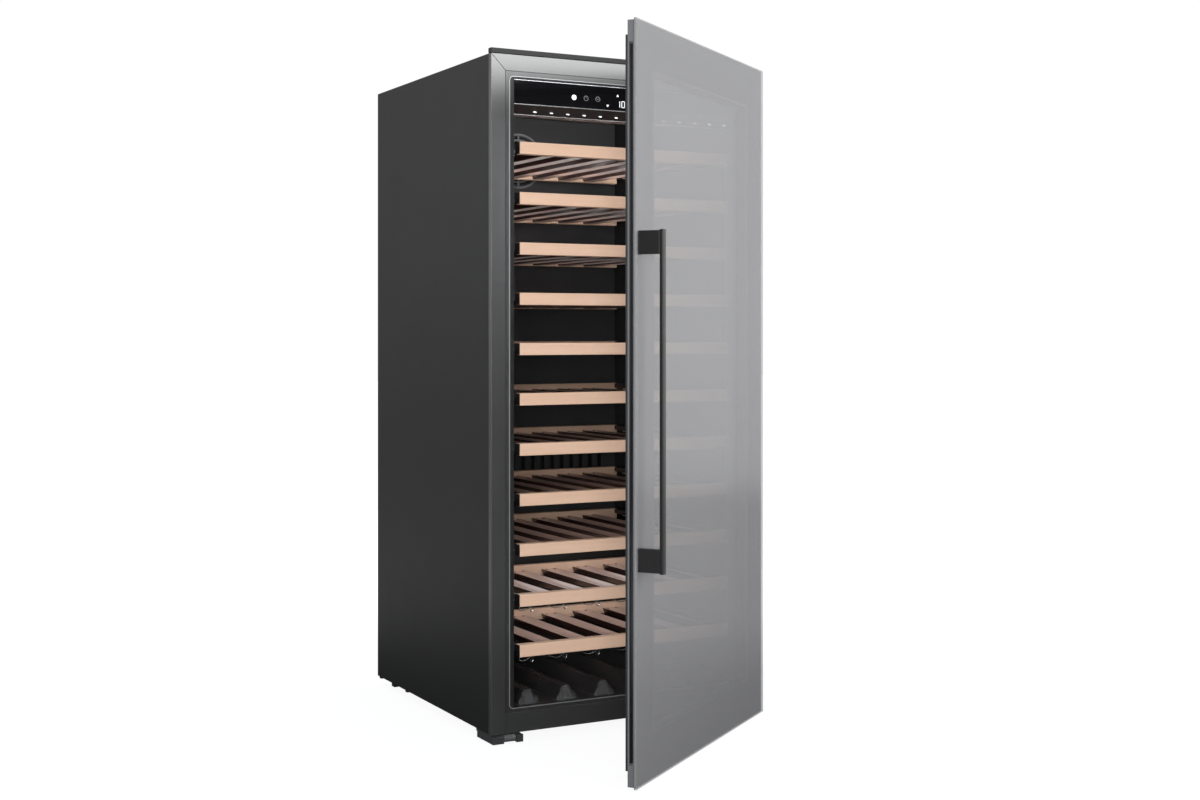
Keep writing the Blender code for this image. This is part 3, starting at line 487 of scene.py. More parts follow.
def glass(name, tint, roughness, coat_ior, clear=1.0):
    """Glass; a coat of a high index makes it half a mirror, and clear below 1 makes it milky."""
    made, tree, shader = start_material(name)
    place = tree.nodes.new("ShaderNodeTexCoord")
    smudges = noise_node(tree, place.outputs["Object"], 9.0, 4.0, 0.5)
    polish = tree.nodes.new("ShaderNodeMapRange")
    polish.inputs["To Min"].default_value = roughness
    polish.inputs["To Max"].default_value = roughness + 0.006
    tree.links.new(smudges, polish.inputs["Value"])
    tree.links.new(polish.outputs["Result"], shader.inputs["Roughness"])
    shader.inputs["Base Color"].default_value = (*tint, 1.0)
    shader.inputs["Transmission Weight"].default_value = clear
    shader.inputs["IOR"].default_value = 1.5
    shader.inputs["Coat Weight"].default_value = 1.0 if coat_ior else 0.0
    shader.inputs["Coat IOR"].default_value = coat_ior or 1.5
    shader.inputs["Coat Roughness"].default_value = 0.02
    return made


def pale_floor(name):
    """A matt floor that looks white to the camera but only pale to what it lights, with painted shade that
    darkens it round its middle, where the cooler stands, and leaves it paler further out.
    """
    made, tree, shader = start_material(name)
    place = tree.nodes.new("ShaderNodeTexCoord")
    away = tree.nodes.new("ShaderNodeVectorMath")
    away.operation = "LENGTH"
    tree.links.new(place.outputs["Object"], away.inputs[0])
    far = tree.nodes.new("ShaderNodeMapRange")
    far.inputs["From Min"].default_value = 0.75
    far.inputs["From Max"].default_value = 1.5
    tree.links.new(away.outputs["Value"], far.inputs["Value"])
    # Painted shade: the floor is dark near its middle, round the cooler, and pale from 1.5 m out
    tone = mix_colours(tree, far.outputs["Result"], (0.05, 0.055, 0.058, 1.0), (0.50, 0.50, 0.50, 1.0))
    tree.links.new(tone, shader.inputs["Base Color"])
    rays = tree.nodes.new("ShaderNodeLightPath")
    lift = math_node(tree, "MULTIPLY", rays.outputs["Is Camera Ray"], 0.93)
    shader.inputs["Roughness"].default_value = 0.8
    shader.inputs["Emission Color"].default_value = (1.0, 1.0, 1.0, 1.0)
    tree.links.new(lift, shader.inputs["Emission Strength"])
    return made


def glow(name, colour, strength):
    """A lit plastic whose light is a little uneven."""
    made, tree, shader = start_material(name)
    shader.inputs["Base Color"].default_value = (0.9, 0.9, 0.9, 1.0)
    shader.inputs["Roughness"].default_value = 0.3
    place = tree.nodes.new("ShaderNodeTexCoord")
    cloud = noise_node(tree, place.outputs["Object"], 400.0, 2.0)
    tint = mix_colours(tree, cloud, (*colour, 1.0), (1.0, 1.0, 1.0, 1.0))
    tree.links.new(tint, shader.inputs["Emission Color"])
    shader.inputs["Emission Strength"].default_value = strength
    return made


# Finishes whose colour is not for the user to choose. The metallic ones are metals and metallic paints; grain
# is the scale of the fine grain and depth its depth; mottle and spread are how far tone and polish change.
FINISHES = {
    "lip_plastic": dict(colour=(0.40, 0.41, 0.42), roughness=0.30, metallic=0.6, grain=1100.0),
    "liner_plastic": dict(colour=(0.075, 0.075, 0.078), roughness=0.36, grain=700.0, depth=0.00002),
    "duct_plastic": dict(colour=(0.040, 0.040, 0.042), roughness=0.36, grain=700.0, depth=0.00002),
    "grille_plastic": dict(colour=(0.16, 0.16, 0.165), roughness=0.30),
    "mat_plastic": dict(colour=(0.016, 0.016, 0.017), roughness=0.28, grain=500.0, depth=0.00002),
    "rack_plastic": dict(colour=(0.010, 0.010, 0.011), roughness=0.40, depth=0.00002),
    "black_gloss": dict(
        colour=(0.004, 0.004, 0.005), roughness=0.06, grain=60.0, depth=0.000002, mottle=0.05, spread=0.02
    ),
    "silver_strip": dict(
        colour=(0.75, 0.76, 0.78), roughness=0.22, metallic=1.0, grain=1500.0, depth=0.000004
    ),
    "chrome_wire": dict(
        colour=(0.55, 0.55, 0.56), roughness=0.18, metallic=1.0, grain=800.0, depth=0.000002
    ),
    "zinc_rail": dict(colour=(0.55, 0.56, 0.58), roughness=0.28, metallic=1.0),
    "steel_plate": dict(colour=(0.50, 0.51, 0.53), roughness=0.33, metallic=1.0, grain=700.0),
    "fin_aluminium": dict(colour=(0.66, 0.67, 0.69), roughness=0.38, metallic=1.0, grain=600.0),
    "pipe_copper": dict(
        colour=(0.72, 0.36, 0.22), roughness=0.30, metallic=1.0, grain=300.0, mottle=0.3, spread=0.2
    ),
    "pot_enamel": dict(
        colour=(0.008, 0.008, 0.008), roughness=0.25, grain=400.0, depth=0.00004, mottle=0.1, spread=0.1,
        coat=0.6,
    ),
    "handle_paint": dict(colour=(0.010, 0.010, 0.011), roughness=0.34, metallic=0.4, grain=1500.0),
    "bracket_steel": dict(colour=(0.075, 0.080, 0.085), roughness=0.38, metallic=0.6, depth=0.00002),
    "roller_plastic": dict(colour=(0.085, 0.088, 0.09), roughness=0.35, grain=700.0),
    "door_print": dict(
        colour=(0.010, 0.010, 0.011), roughness=0.6, grain=1500.0, depth=0.000002, mottle=0.02, spread=0.02,
        specular=0.0,
    ),
    "door_profile": dict(colour=(0.15, 0.155, 0.16), roughness=0.38, metallic=0.4, grain=1100.0),
    "carrier_edge": dict(colour=(0.42, 0.43, 0.44), roughness=0.40, metallic=0.3, grain=1100.0),
    "seal_rubber": dict(colour=(0.012, 0.012, 0.012), roughness=0.55, grain=500.0, depth=0.00004),
    "seal_edge": dict(colour=(0.22, 0.22, 0.23), roughness=0.50, grain=700.0, depth=0.00002),
    "foot_rubber": dict(colour=(0.014, 0.014, 0.014), roughness=0.65, grain=500.0, depth=0.00005),
    "foam": dict(
        colour=(0.62, 0.52, 0.30), roughness=0.85, grain=220.0, depth=0.0004, mottle=0.3, spread=0.1
    ),
    "felt_filter": dict(colour=(0.012, 0.012, 0.013), roughness=0.60, grain=450.0, depth=0.0002),
    "grey_mark": dict(colour=(0.35, 0.36, 0.37), roughness=0.5),
}
LAMP_COLOUR = (0.92, 0.96, 1.0)
# Painted shade for the sideways faces of the walnut slats, which stand in the dark gaps between them
WALNUT_SIDE_SHADE = (0.028, 0.011, 0.008)


def material(look):
    """The named finish, made the first time that it is asked for."""
    if look in bpy.data.materials:
        return bpy.data.materials[look]
    if look in FINISHES:
        return surface(look, **FINISHES[look])
    colours = bpy.context.scene.cooler_colours
    paint, trim = tuple(colours.cabinet_paint), tuple(colours.frame_paint)
    darker_trim = tuple(0.8 * part for part in trim)
    beech = tuple(colours.beech_light), tuple(colours.beech_dark)
    walnut = tuple(colours.walnut_light), tuple(colours.walnut_dark)
    makers = {
        "cabinet_paint": lambda: surface(look, paint, 0.42, grain=1300.0, depth=0.00003, specular=0.3),
        "frame_paint": lambda: surface(look, trim, 0.29, 0.85, 1300.0, 0.000012, 0.08, 0.05),
        "flange_paint": lambda: surface(look, darker_trim, 0.32, 0.85, 1100.0),
        "beech": lambda: timber(look, *beech, 0.42),
        "walnut": lambda: timber(look, *walnut, 0.24, "Y", 0.2, 0.6, WALNUT_SIDE_SHADE),
        "smoked_glass": lambda: glass(look, (0.92, 0.93, 0.94), 0.0, 2.3, 0.95),
        "clear_glass": lambda: glass(look, (0.95, 0.97, 0.97), 0.0, 0.0),
        "white_glow": lambda: glow(look, LAMP_COLOUR, 1.3),
        "lamp_glow": lambda: glow(look, LAMP_COLOUR, 3.0),
        "floor": lambda: pale_floor(look),
    }
    return makers[look]()


# ---------------------------------------------------------------- sizes and colours


class CoolerSizes(bpy.types.PropertyGroup):
    """Sizes of the finished pieces."""

    stile_width: bpy.props.FloatProperty(
        name="Stile Width", description="Width of the front frame's sides", default=0.028, unit="LENGTH"
    )
    top_rail: bpy.props.FloatProperty(
        name="Top Rail", description="Height of the front frame's top", default=0.0295, unit="LENGTH"
    )
    bottom_rail: bpy.props.FloatProperty(
        name="Bottom Rail", description="Height of the front frame's bottom", default=0.036, unit="LENGTH"
    )
    flange_width: bpy.props.FloatProperty(
        name="Flange Width", description="Width of the liner's light flange", default=0.0075, unit="LENGTH"
    )
    rail_rounding: bpy.props.FloatProperty(
        name="Rail Rounding", description="Rounding of the wooden edges", default=0.0010, unit="LENGTH"
    )
    slat_hollow: bpy.props.FloatProperty(
        name="Slat Hollow", description="Depth of the hollow along each slat", default=0.0016, unit="LENGTH"
    )
    slat_taper: bpy.props.FloatProperty(
        name="Slat Taper", description="Share of a slat's width that is left at its bottom", default=0.78
    )
    lamp_pitch: bpy.props.FloatProperty(
        name="Lamp Pitch", description="Distance between two lamps", default=0.0336, unit="LENGTH"
    )
    handle_rounding: bpy.props.FloatProperty(
        name="Handle Rounding", description="Rounding of the handle's edges", default=0.0012, unit="LENGTH"
    )


class CoolerColours(bpy.types.PropertyGroup):
    """Colours of the main finishes."""

    cabinet_paint: bpy.props.FloatVectorProperty(
        name="Cabinet Paint", description="Paint of the panels",
        default=(0.009, 0.0093, 0.0096), subtype="COLOR",
    )
    frame_paint: bpy.props.FloatVectorProperty(
        name="Frame Paint", description="Paint of the front frame",
        default=(0.150, 0.151, 0.152), subtype="COLOR",
    )
    beech_light: bpy.props.FloatVectorProperty(
        name="Beech Light", description="Pale beech wood", default=(0.80, 0.57, 0.43), subtype="COLOR"
    )
    beech_dark: bpy.props.FloatVectorProperty(
        name="Beech Dark", description="Dark beech grain", default=(0.62, 0.39, 0.27), subtype="COLOR"
    )
    walnut_light: bpy.props.FloatVectorProperty(
        name="Walnut Light", description="Pale walnut grain", default=(0.62, 0.44, 0.38), subtype="COLOR"
    )
    walnut_dark: bpy.props.FloatVectorProperty(
        name="Walnut Dark", description="Dark walnut grain", default=(0.44, 0.28, 0.23), subtype="COLOR"
    )


# ---------------------------------------------------------------- the cabinet


class COOLER_OT_make_panels(bpy.types.Operator):
    """Finish the outer panels and press ribs and screws into the back"""

    bl_idname = "cooler.make_panels"
    bl_label = "Panels"

    def execute(self, context):
        panels = ("left_side_panel", "right_side_panel", "top_panel", "base_panel", "rear_panel", "top_trim")
        coat_node("cabinet_paint", *panels)
        coat_node("foam", "insulation_foam")

        half_width, rise, sunk, below, above = 0.014, 0.0025, 0.0005, 0.12, 0.10
        width = REAR_HIGH.x - REAR_LOW.x
        rib = block(
            "rear_rib",
            (REAR_LOW.x - half_width, REAR_HIGH.y - sunk, REAR_LOW.z + below),
            (REAR_LOW.x + half_width, REAR_HIGH.y + rise, REAR_HIGH.z - above),
        )
        soften(rib, 0.0024, 3)
        ribs = row_of(rib, "rear_panel_ribs", [(width * share, 0.0, 0.0) for share in (0.2, 0.5, 0.8)])
        finish(ribs, "cabinet_paint", "cabinet")

        head_radius, head_height = 0.0042, 0.0018
        slot_length, slot_width, slot_floor = 0.0052, 0.001, 0.001
        side_margin, end_margin, steps = 0.012, 0.03, 5
        centre = (0.0, REAR_HIGH.y + head_height / 2, 0.0)
        screw = rod("rear_screw", centre, head_radius, head_height, "Y", 20)
        slot_low = (-slot_length / 2, REAR_HIGH.y + slot_floor, -slot_width / 2)
        slot = block("slot", slot_low, (slot_length / 2, REAR_HIGH.y + 0.003, slot_width / 2))
        carve(screw, slot)
        soften(screw, 0.0004, 2)
        pitch = (REAR_HIGH.z - REAR_LOW.z - 2 * end_margin) / steps
        places = [
            (x, 0.0, REAR_LOW.z + end_margin + step * pitch)
            for x in (REAR_LOW.x + side_margin, REAR_HIGH.x - side_margin)
            for step in range(steps + 1)
        ]
        finish(row_of(screw, "rear_panel_screws", places), "steel_plate", "cabinet")
        return {"FINISHED"}


class COOLER_OT_make_front_frame(bpy.types.Operator):
    """Build the front frame from stiles and rails, mitred at the top, with the liner's flange inside it"""

    bl_idname = "cooler.make_front_frame"
    bl_label = "Front Frame"

    def execute(self, context):
        sizes = context.scene.cooler_sizes
        low, high = FRAME_LOW, FRAME_HIGH
        stile, top, bottom = sizes.stile_width, sizes.top_rail, sizes.bottom_rail
        bars = []
        for side, outer in ((1, low.x), (-1, high.x)):
            inner = outer + side * stile
            left, right = sorted((outer, inner - side * HAIR / 2))
            bar = block("frame_stile", (left, low.y, low.z), (right, high.y, high.z))
            mitre = Vector((side * (top - HAIR), 0.0, stile))
            slice_off(bar, (outer, low.y, high.z - HAIR), mitre)
            bars.append(bar)
        rail = block("frame_top_rail", (low.x, low.y, high.z - top), high)
        slice_off(rail, (low.x, low.y, high.z + HAIR), (-top, 0.0, -stile))
        slice_off(rail, (high.x, low.y, high.z + HAIR), (top, 0.0, -stile))
        bars.append(rail)
        rail_low = (low.x + stile + HAIR, low.y + HAIR, low.z)
        bars.append(block("frame_bottom_rail", rail_low, (high.x - stile - HAIR, high.y, low.z + bottom)))
        for bar in bars:
            soften(bar, 0.0007, 2)
        finish(merge("front_frame_bars", bars), "frame_paint", "cabinet", ("front_frame",))

        gap = HAIR * 1.5
        margin, proud = sizes.flange_width, 0.0009
        outer_low = Vector((low.x + stile + gap, FRONT + HAIR, low.z + bottom + gap))
        outer_high = Vector((high.x - stile - gap, FRONT + proud, high.z - top - gap))
        through = Vector((0.0, 0.01, 0.0))
        inner_low = outer_low + Vector((margin, 0.0, margin))
        inner_high = outer_high - Vector((margin, 0.0, margin * 1.2))
        flange = block("liner_flange", outer_low, outer_high)
        carve(flange, self.rounded("flange_hole", inner_low - through, inner_high + through, 0.008))
        finish(flange, "flange_paint", "cabinet")

        overlap = Vector((0.0006, 0.0, 0.0006))
        lip_low = inner_low - overlap - Vector((0.0, 0.0012, 0.0))
        lip_high = inner_high + overlap
        lip = self.rounded("opening_lip", lip_low, lip_high, 0.0083)
        wall = Vector((0.0013, -0.02, 0.0013))
        carve(lip, self.rounded("lip_hole", lip_low + wall, lip_high - wall, 0.007))
        smooth(lip)
        finish(lip, "lip_plastic", "cabinet")
        coat_node("liner_plastic", "inner_liner")
        return {"FINISHED"}

    def rounded(self, name, low, high, radius):
        """A box whose four edges from front to back are rounded."""
        piece = block(name, low, high)
        work_on(piece)
        bpy.ops.object.mode_set(mode="EDIT")
        bpy.ops.mesh.select_mode(type="EDGE")
        bpy.ops.mesh.select_all(action="DESELECT")
        bpy.ops.object.mode_set(mode="OBJECT")
        for edge in piece.data.edges:
            first, second = (piece.data.vertices[i].co for i in edge.vertices)
            edge.select = abs(first.y - second.y) > HAIR
        bpy.ops.object.mode_set(mode="EDIT")
        bpy.ops.mesh.bevel(offset=radius, segments=8)
        bpy.ops.object.mode_set(mode="OBJECT")
        return piece


class COOLER_OT_make_control_panel(bpy.types.Operator):
    """Build the control panel: chamfered housing, glossy front, bright strips, lamps and touch symbols"""

    bl_idname = "cooler.make_control_panel"
    bl_label = "Control Panel"

    def execute(self, context):
        sizes = context.scene.cooler_sizes
        low, high = HOUSING_LOW, HOUSING_HIGH
        face_bottom = DISPLAY_LOW.z - 0.001
        drop = face_bottom - low.z
        run = 0.022
        housing = block("panel_housing", low, high)
        slice_off(housing, (MIDDLE, low.y, face_bottom), (0.0, -drop, -run))
        soften(housing, 0.0008, 2)
        finish(housing, "rack_plastic", "cabinet", ("control_housing",))
        coat_node("black_gloss", "control_glass")

        half = 0.0008
        strips = []
        for z, y in (
            (DISPLAY_HIGH.z + 0.0006, DISPLAY_LOW.y + 0.001),
            (DISPLAY_LOW.z - half, DISPLAY_LOW.y + 0.001),
            (low.z + half, low.y + run - 0.0010),
        ):
            strip_low = (DISPLAY_LOW.x, y - half, z - half)
            strip = block("strip", strip_low, (DISPLAY_HIGH.x, y + half, z + half))
            soften(strip, 0.0005, 3)
            strips.append(strip)
        finish(merge("panel_bright_strips", strips), "silver_strip", "cabinet")

        # The lamps stand in a row on the sloped face, this share of the way down it
        share = 0.62
        slope = math.atan2(run, drop)
        first_x = MIDDLE - 0.0175 - 5 * sizes.lamp_pitch
        places = [(first_x + index * sizes.lamp_pitch, 0.0, 0.0) for index in range(13)]
        for name, radius, thickness, look in (
            ("panel_lamps", 0.0022, 0.0012, "lamp_glow"),
            ("panel_lamp_rims", 0.0033, 0.0006, "zinc_rail"),
        ):
            lamp = rod("lamp", (0.0, 0.0, 0.0), radius, thickness, "Z", 20)
            lamp.scale = (1.35, 1.0, 1.0)
            lamp.rotation_euler = (math.pi * 1.5 - slope, 0.0, 0.0)
            lamp.location = (0.0, low.y + run * share, face_bottom - drop * share)
            settle(lamp)
            soften(lamp, 0.0003, 2)
            finish(row_of(lamp, name, places), look, "cabinet")
        self.make_symbols()
        return {"FINISHED"}

    def make_symbols(self):
        """A lit power touch, two ring symbols, arrows and the temperature's digits, on the glossy front."""
        face = DISPLAY_LOW.y
        row = DISPLAY_LOW.z + (DISPLAY_HIGH.z - DISPLAY_LOW.z) * 0.44
        power_x, info_x, lock_x = MIDDLE - 0.1139, MIDDLE - 0.0890, MIDDLE - 0.0647
        line, thin = 0.0006, 0.0001

        def bar(x, z, width, height):
            """A thin mark that stands a hair out of the glossy front."""
            low = (x - width / 2, face - 2 * thin, z - height / 2)
            piece = block("bar", low, (x + width / 2, face + thin, z + height / 2))
            soften(piece, thin, 2)
            return piece

        button = rod("panel_button", (power_x, face - thin, row), 0.0046, 4 * thin, "Y", 40)
        soften(button, thin, 2)
        finish(button, "white_glow", "cabinet")

        marks = []
        for x in (info_x, lock_x):
            bpy.ops.object.select_all(action="DESELECT")
            bpy.ops.mesh.primitive_torus_add(
                major_radius=0.0042, minor_radius=0.00035, major_segments=40, minor_segments=8,
                location=(x, face, row), rotation=(math.pi / 2, 0.0, 0.0),
            )
            circle = bpy.context.object
            settle(circle)
            smooth(circle, 60.0)
            marks.append(circle)
        marks.append(bar(info_x, row + 0.0012, line, 0.0028))
        slash = bar(0.0, 0.0, line, 0.0042)
        lean = Matrix.Rotation(math.radians(40), 4, "Y") @ Matrix.Translation((0.0, -face, 0.0))
        slash.data.transform(Matrix.Translation((lock_x, face, row)) @ lean)
        marks.append(slash)
        finish(merge("panel_ring_symbols", marks), "grey_mark", "cabinet")

        lit = []
        for x, z, turn in ((MIDDLE - 0.0232, row + 0.0086, 0.0), (MIDDLE - 0.0442, row - 0.0104, math.pi)):
            bpy.ops.object.select_all(action="DESELECT")
            bpy.ops.mesh.primitive_cylinder_add(
                vertices=3, radius=0.0026, depth=0.0003, location=(x, face - thin, z),
                rotation=(math.pi / 2, turn, 0.0),
            )
            arrow = bpy.context.object
            settle(arrow)
            soften(arrow, thin, 2)
            lit.append(arrow)

        # Each digit's lit bars: those that stand at a side, then those that lie at a level
        height, width, stroke = 0.0122, 0.0057, 0.0009
        digit_z = row - 0.0065
        for x, sides, levels in ((MIDDLE - 0.0215, (1,), ()), (MIDDLE - 0.0115, (1, -1), (1, -1))):
            for side in sides:
                lit.append(bar(x + side * width / 2, digit_z, stroke, height - stroke))
            for level in levels:
                lit.append(bar(x, digit_z + level * (height - stroke) / 2, width - stroke * 1.4, stroke))
        finish(merge("panel_digits", lit), "white_glow", "cabinet")


class COOLER_OT_make_air_parts(bpy.types.Operator):
    """Finish the duct panel, the fan, the filter and the shelf racks"""

    bl_idname = "cooler.make_air_parts"
    bl_label = "Air Parts and Racks"

    def execute(self, context):
        coat_node("duct_plastic", "duct_panel")
        coat_node("grille_plastic", "fan_grille")
        coat_node("rack_plastic", "fan_rotor", "left_rack", "right_rack")
        coat_node("steel_plate", "fan_motor")
        coat_node("felt_filter", "charcoal_filter")
        coat_node("fin_aluminium", "evaporator")
        strips = []
        for rack, side in (("left_rack", 1), ("right_rack", -1)):
            rack_low, rack_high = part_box(rack)
            wall = rack_high.x if side > 0 else rack_low.x
            left, right = sorted((wall + side * 0.0001, wall + side * 0.0007))
            for number in (*LONG_SHELVES, *SHORT_SHELVES):
                deck_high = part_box(f"shelf_{number}_deck")[1]
                runner = deck_high.z - 0.0117
                start = (left, FRONT + 0.0300, runner - 0.0018)
                strip = block("rail_strip", start, (right, deck_high.y - 0.040, runner + 0.0004))
                soften(strip, 0.0002, 2)
                strips.append(strip)
        finish(merge("rack_rail_strips", strips), "zinc_rail", "cabinet")
        return {"FINISHED"}


# ---------------------------------------------------------------- the shelves


class COOLER_OT_make_shelves(bpy.types.Operator):
    """Build each shelf: beech rails, hollowed dark slats and side bars; the two lowest carry a wire"""

    bl_idname = "cooler.make_shelves"
    bl_label = "Shelves"

    def execute(self, context):
        for numbers, slats, from_wall, width in (
            (LONG_SHELVES, 8, 0.025, 0.031),
            (SHORT_SHELVES, 7, 0.022, 0.034),
        ):
            parts = self.make_first(numbers[0], slats, from_wall, width)
            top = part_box(f"shelf_{numbers[0]}_deck")[1].z
            # The first shelf comes last, so that it is still unfinished while it is copied
            for number in (*numbers[1:], numbers[0]):
                shift = (0.0, 0.0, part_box(f"shelf_{number}_deck")[1].z - top)
                for part, (piece, look, node, slot) in parts.items():
                    made = piece if number == numbers[0] else copy_of(piece, part, shift)
                    made.name = f"shelf_{number}_{part}"
                    stands_for = (f"shelf_{number}_{node}",) if node else ()
                    finish(made, look, f"shelf_{number}", stands_for)
        for number in SHORT_SHELVES:
            self.make_wire(number)
        return {"FINISHED"}

    def make_first(self, number, count, from_wall, width):
        """The pieces of one shelf, each with its look, the end of its node's name and a slot name, which
        nothing reads.
        """
        sizes = bpy.context.scene.cooler_sizes
        rounding = sizes.rail_rounding
        rail_low, rail_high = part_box(f"shelf_{number}_front_rail")
        deck_low, deck_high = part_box(f"shelf_{number}_deck")
        top = rail_high.z
        rail = block("rail", rail_low, rail_high)
        soften(rail, rounding, 3)
        back_front = deck_high.y - 0.015
        back = block("back_rail", (rail_low.x, back_front, rail_low.z), (rail_high.x, deck_high.y, top))
        soften(back, rounding, 3)

        # The slats are hollow on top and narrower below
        inner_x = (deck_high.x - deck_low.x) / 2 + 0.004
        pitch = 2 * (inner_x - from_wall) / (count - 1)
        shifts = [((index - (count - 1) / 2) * pitch, 0.0, 0.0) for index in range(1, count - 1)]
        start, end = rail_high.y + HAIR, back_front - HAIR
        slat_top, slat_bottom = top - 0.0095, top - 0.021
        sag = sizes.slat_hollow
        half = width / 2 - 0.003
        radius = (half * half + sag * sag) / (2 * sag)
        slat = block("slat", (MIDDLE - width / 2, start, slat_bottom), (MIDDLE + width / 2, end, slat_top))
        hollow_centre = (MIDDLE, (start + end) / 2, slat_top - sag + radius)
        carve(slat, rod("hollow", hollow_centre, radius, end - start + 0.02, "Y", 160))
        for vertex in slat.data.vertices:
            if vertex.co.z < slat_bottom + HAIR:
                vertex.co.x = MIDDLE + (vertex.co.x - MIDDLE) * sizes.slat_taper
        soften(slat, 0.0009, 2)
        slats = row_of(slat, "slats", shifts)

        # Dark bars at the sides and thin caps on the rail's ends
        bars = []
        for side, rail_end in ((-1, rail_low.x), (1, rail_high.x)):
            left, right = sorted((MIDDLE + side * (inner_x - 0.021), MIDDLE + side * (inner_x - 0.004)))
            bar = block("side_bar", (left, start, top - 0.0105), (right, deck_high.y - 0.002, top - 0.001))
            soften(bar, 0.0012, 2)
            left, right = sorted((rail_end, rail_end + side * 0.0012))
            cap_low = (left, rail_low.y + 0.0006, rail_low.z + 0.0005)
            cap = block("cap", cap_low, (right, rail_high.y, top - 0.0005))
            soften(cap, 0.0004, 2)
            bars += [bar, cap]
        bars = merge("side_bars", bars)

        # A pair of dowels in each end of each slat
        dowel_x, dowel_y = width / 2 - 0.0075, 0.010
        dowel = rod("dowel", (MIDDLE, 0.0, slat_top - sag * 0.42), 0.0022, 0.0012, "Z", 14)
        soften(dowel, 0.0003, 1)
        dowel_shifts = [
            (shift[0] + side * dowel_x, y, 0.0)
            for shift in shifts
            for y in (start + dowel_y, end - dowel_y)
            for side in (-1, 1)
        ]
        return {
            "rail": (rail, "beech", "front_rail", "beech_wood"),
            "back_rail": (back, "beech", None, "beech_wood"),
            "slats": (slats, "walnut", "deck", "walnut_wood"),
            "side_bars": (bars, "rack_plastic", None, "walnut_wood"),
            "dowels": (row_of(dowel, "dowels", dowel_shifts), "rack_plastic", None, "walnut_wood"),
        }

    def make_wire(self, number):
        """A chrome wire in shallow waves, with a small hook at each crest, under the front rail."""
        rail_low, rail_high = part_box(f"shelf_{number}_front_rail")
        thickness, steps = 0.0008, 12
        y = rail_low.y + 0.015
        crest, pitch, dip, reach = rail_low.z - 0.0022, 0.0680, 0.0075, 0.024
        hooks = [MIDDLE - 0.1904 + wave * pitch for wave in range(6)]
        points = [(rail_low.x + 0.006, y, crest)]
        for hook in hooks:
            for step in range(steps + 1):
                along = step / steps
                sag = dip * math.sin(math.pi * along) ** 1.5
                points.append((hook - reach * 1.6 + along * reach * 1.8, y, crest - sag))
        points = [point for point in points if rail_low.x + 0.004 < point[0] < rail_high.x - 0.004]
        wires = [tube("wire", points, thickness)]
        width, height, hang = 0.0028, 0.0045, 0.0060
        for hook in hooks:
            bend = []
            for step in range(steps + 1):
                angle = math.pi * (1.15 * step / steps - 0.2)
                z = crest - hang - height * math.sin(angle)
                bend.append((hook + width * math.cos(angle), y - 0.0017, z))
            wires.append(tube("hook", bend, thickness))
        finish(merge(f"shelf_{number}_wire", wires), "chrome_wire", f"shelf_{number}")


class COOLER_OT_make_floor_mat(bpy.types.Operator):
    """Mould the floor mat: a ridge between bottles, each with a sloped end"""

    bl_idname = "cooler.make_floor_mat"
    bl_label = "Floor Mat"

    def execute(self, context):
        low, high = TRAY_LOW, TRAY_HIGH
        ridges, columns, rows = 6, 150, 60
        bpy.ops.object.select_all(action="DESELECT")
        bpy.ops.mesh.primitive_grid_add(
            x_subdivisions=columns, y_subdivisions=rows, size=1.0,
            location=((low.x + high.x) / 2, (low.y + high.y) / 2, low.z),
        )
        mat = bpy.context.object
        mat.name = "floor_mat"
        mat.scale = (high.x - low.x, high.y - low.y, 1.0)
        settle(mat)
        wall = 0.0015
        rise = high.z - low.z - wall
        pitch = (high.x - low.x) / ridges
        # The reach of a ridge's flat and its foot from its middle in shares of the pitch, then its ends
        flat, foot, slope, front_margin = 0.09, 0.31, 0.009, 0.012
        for vertex in mat.data.vertices:
            place = vertex.co
            across = abs((place.x - low.x) / pitch % 1.0 - 0.5)
            side = min(1.0, max(0.0, (foot - across) / (foot - flat)))
            to_end = min(place.y - low.y - front_margin, high.y - place.y)
            level = min(side, max(0.0, to_end / slope))
            place.z = low.z + wall + rise * level * (1.12 - 0.12 * level)
        modify(mat, "SOLIDIFY", thickness=wall, offset=-1.0)
        smooth(mat, 30.0)
        finish(mat, "mat_plastic", "cabinet", ("floor_tray",))
        return {"FINISHED"}


# ---------------------------------------------------------------- the door


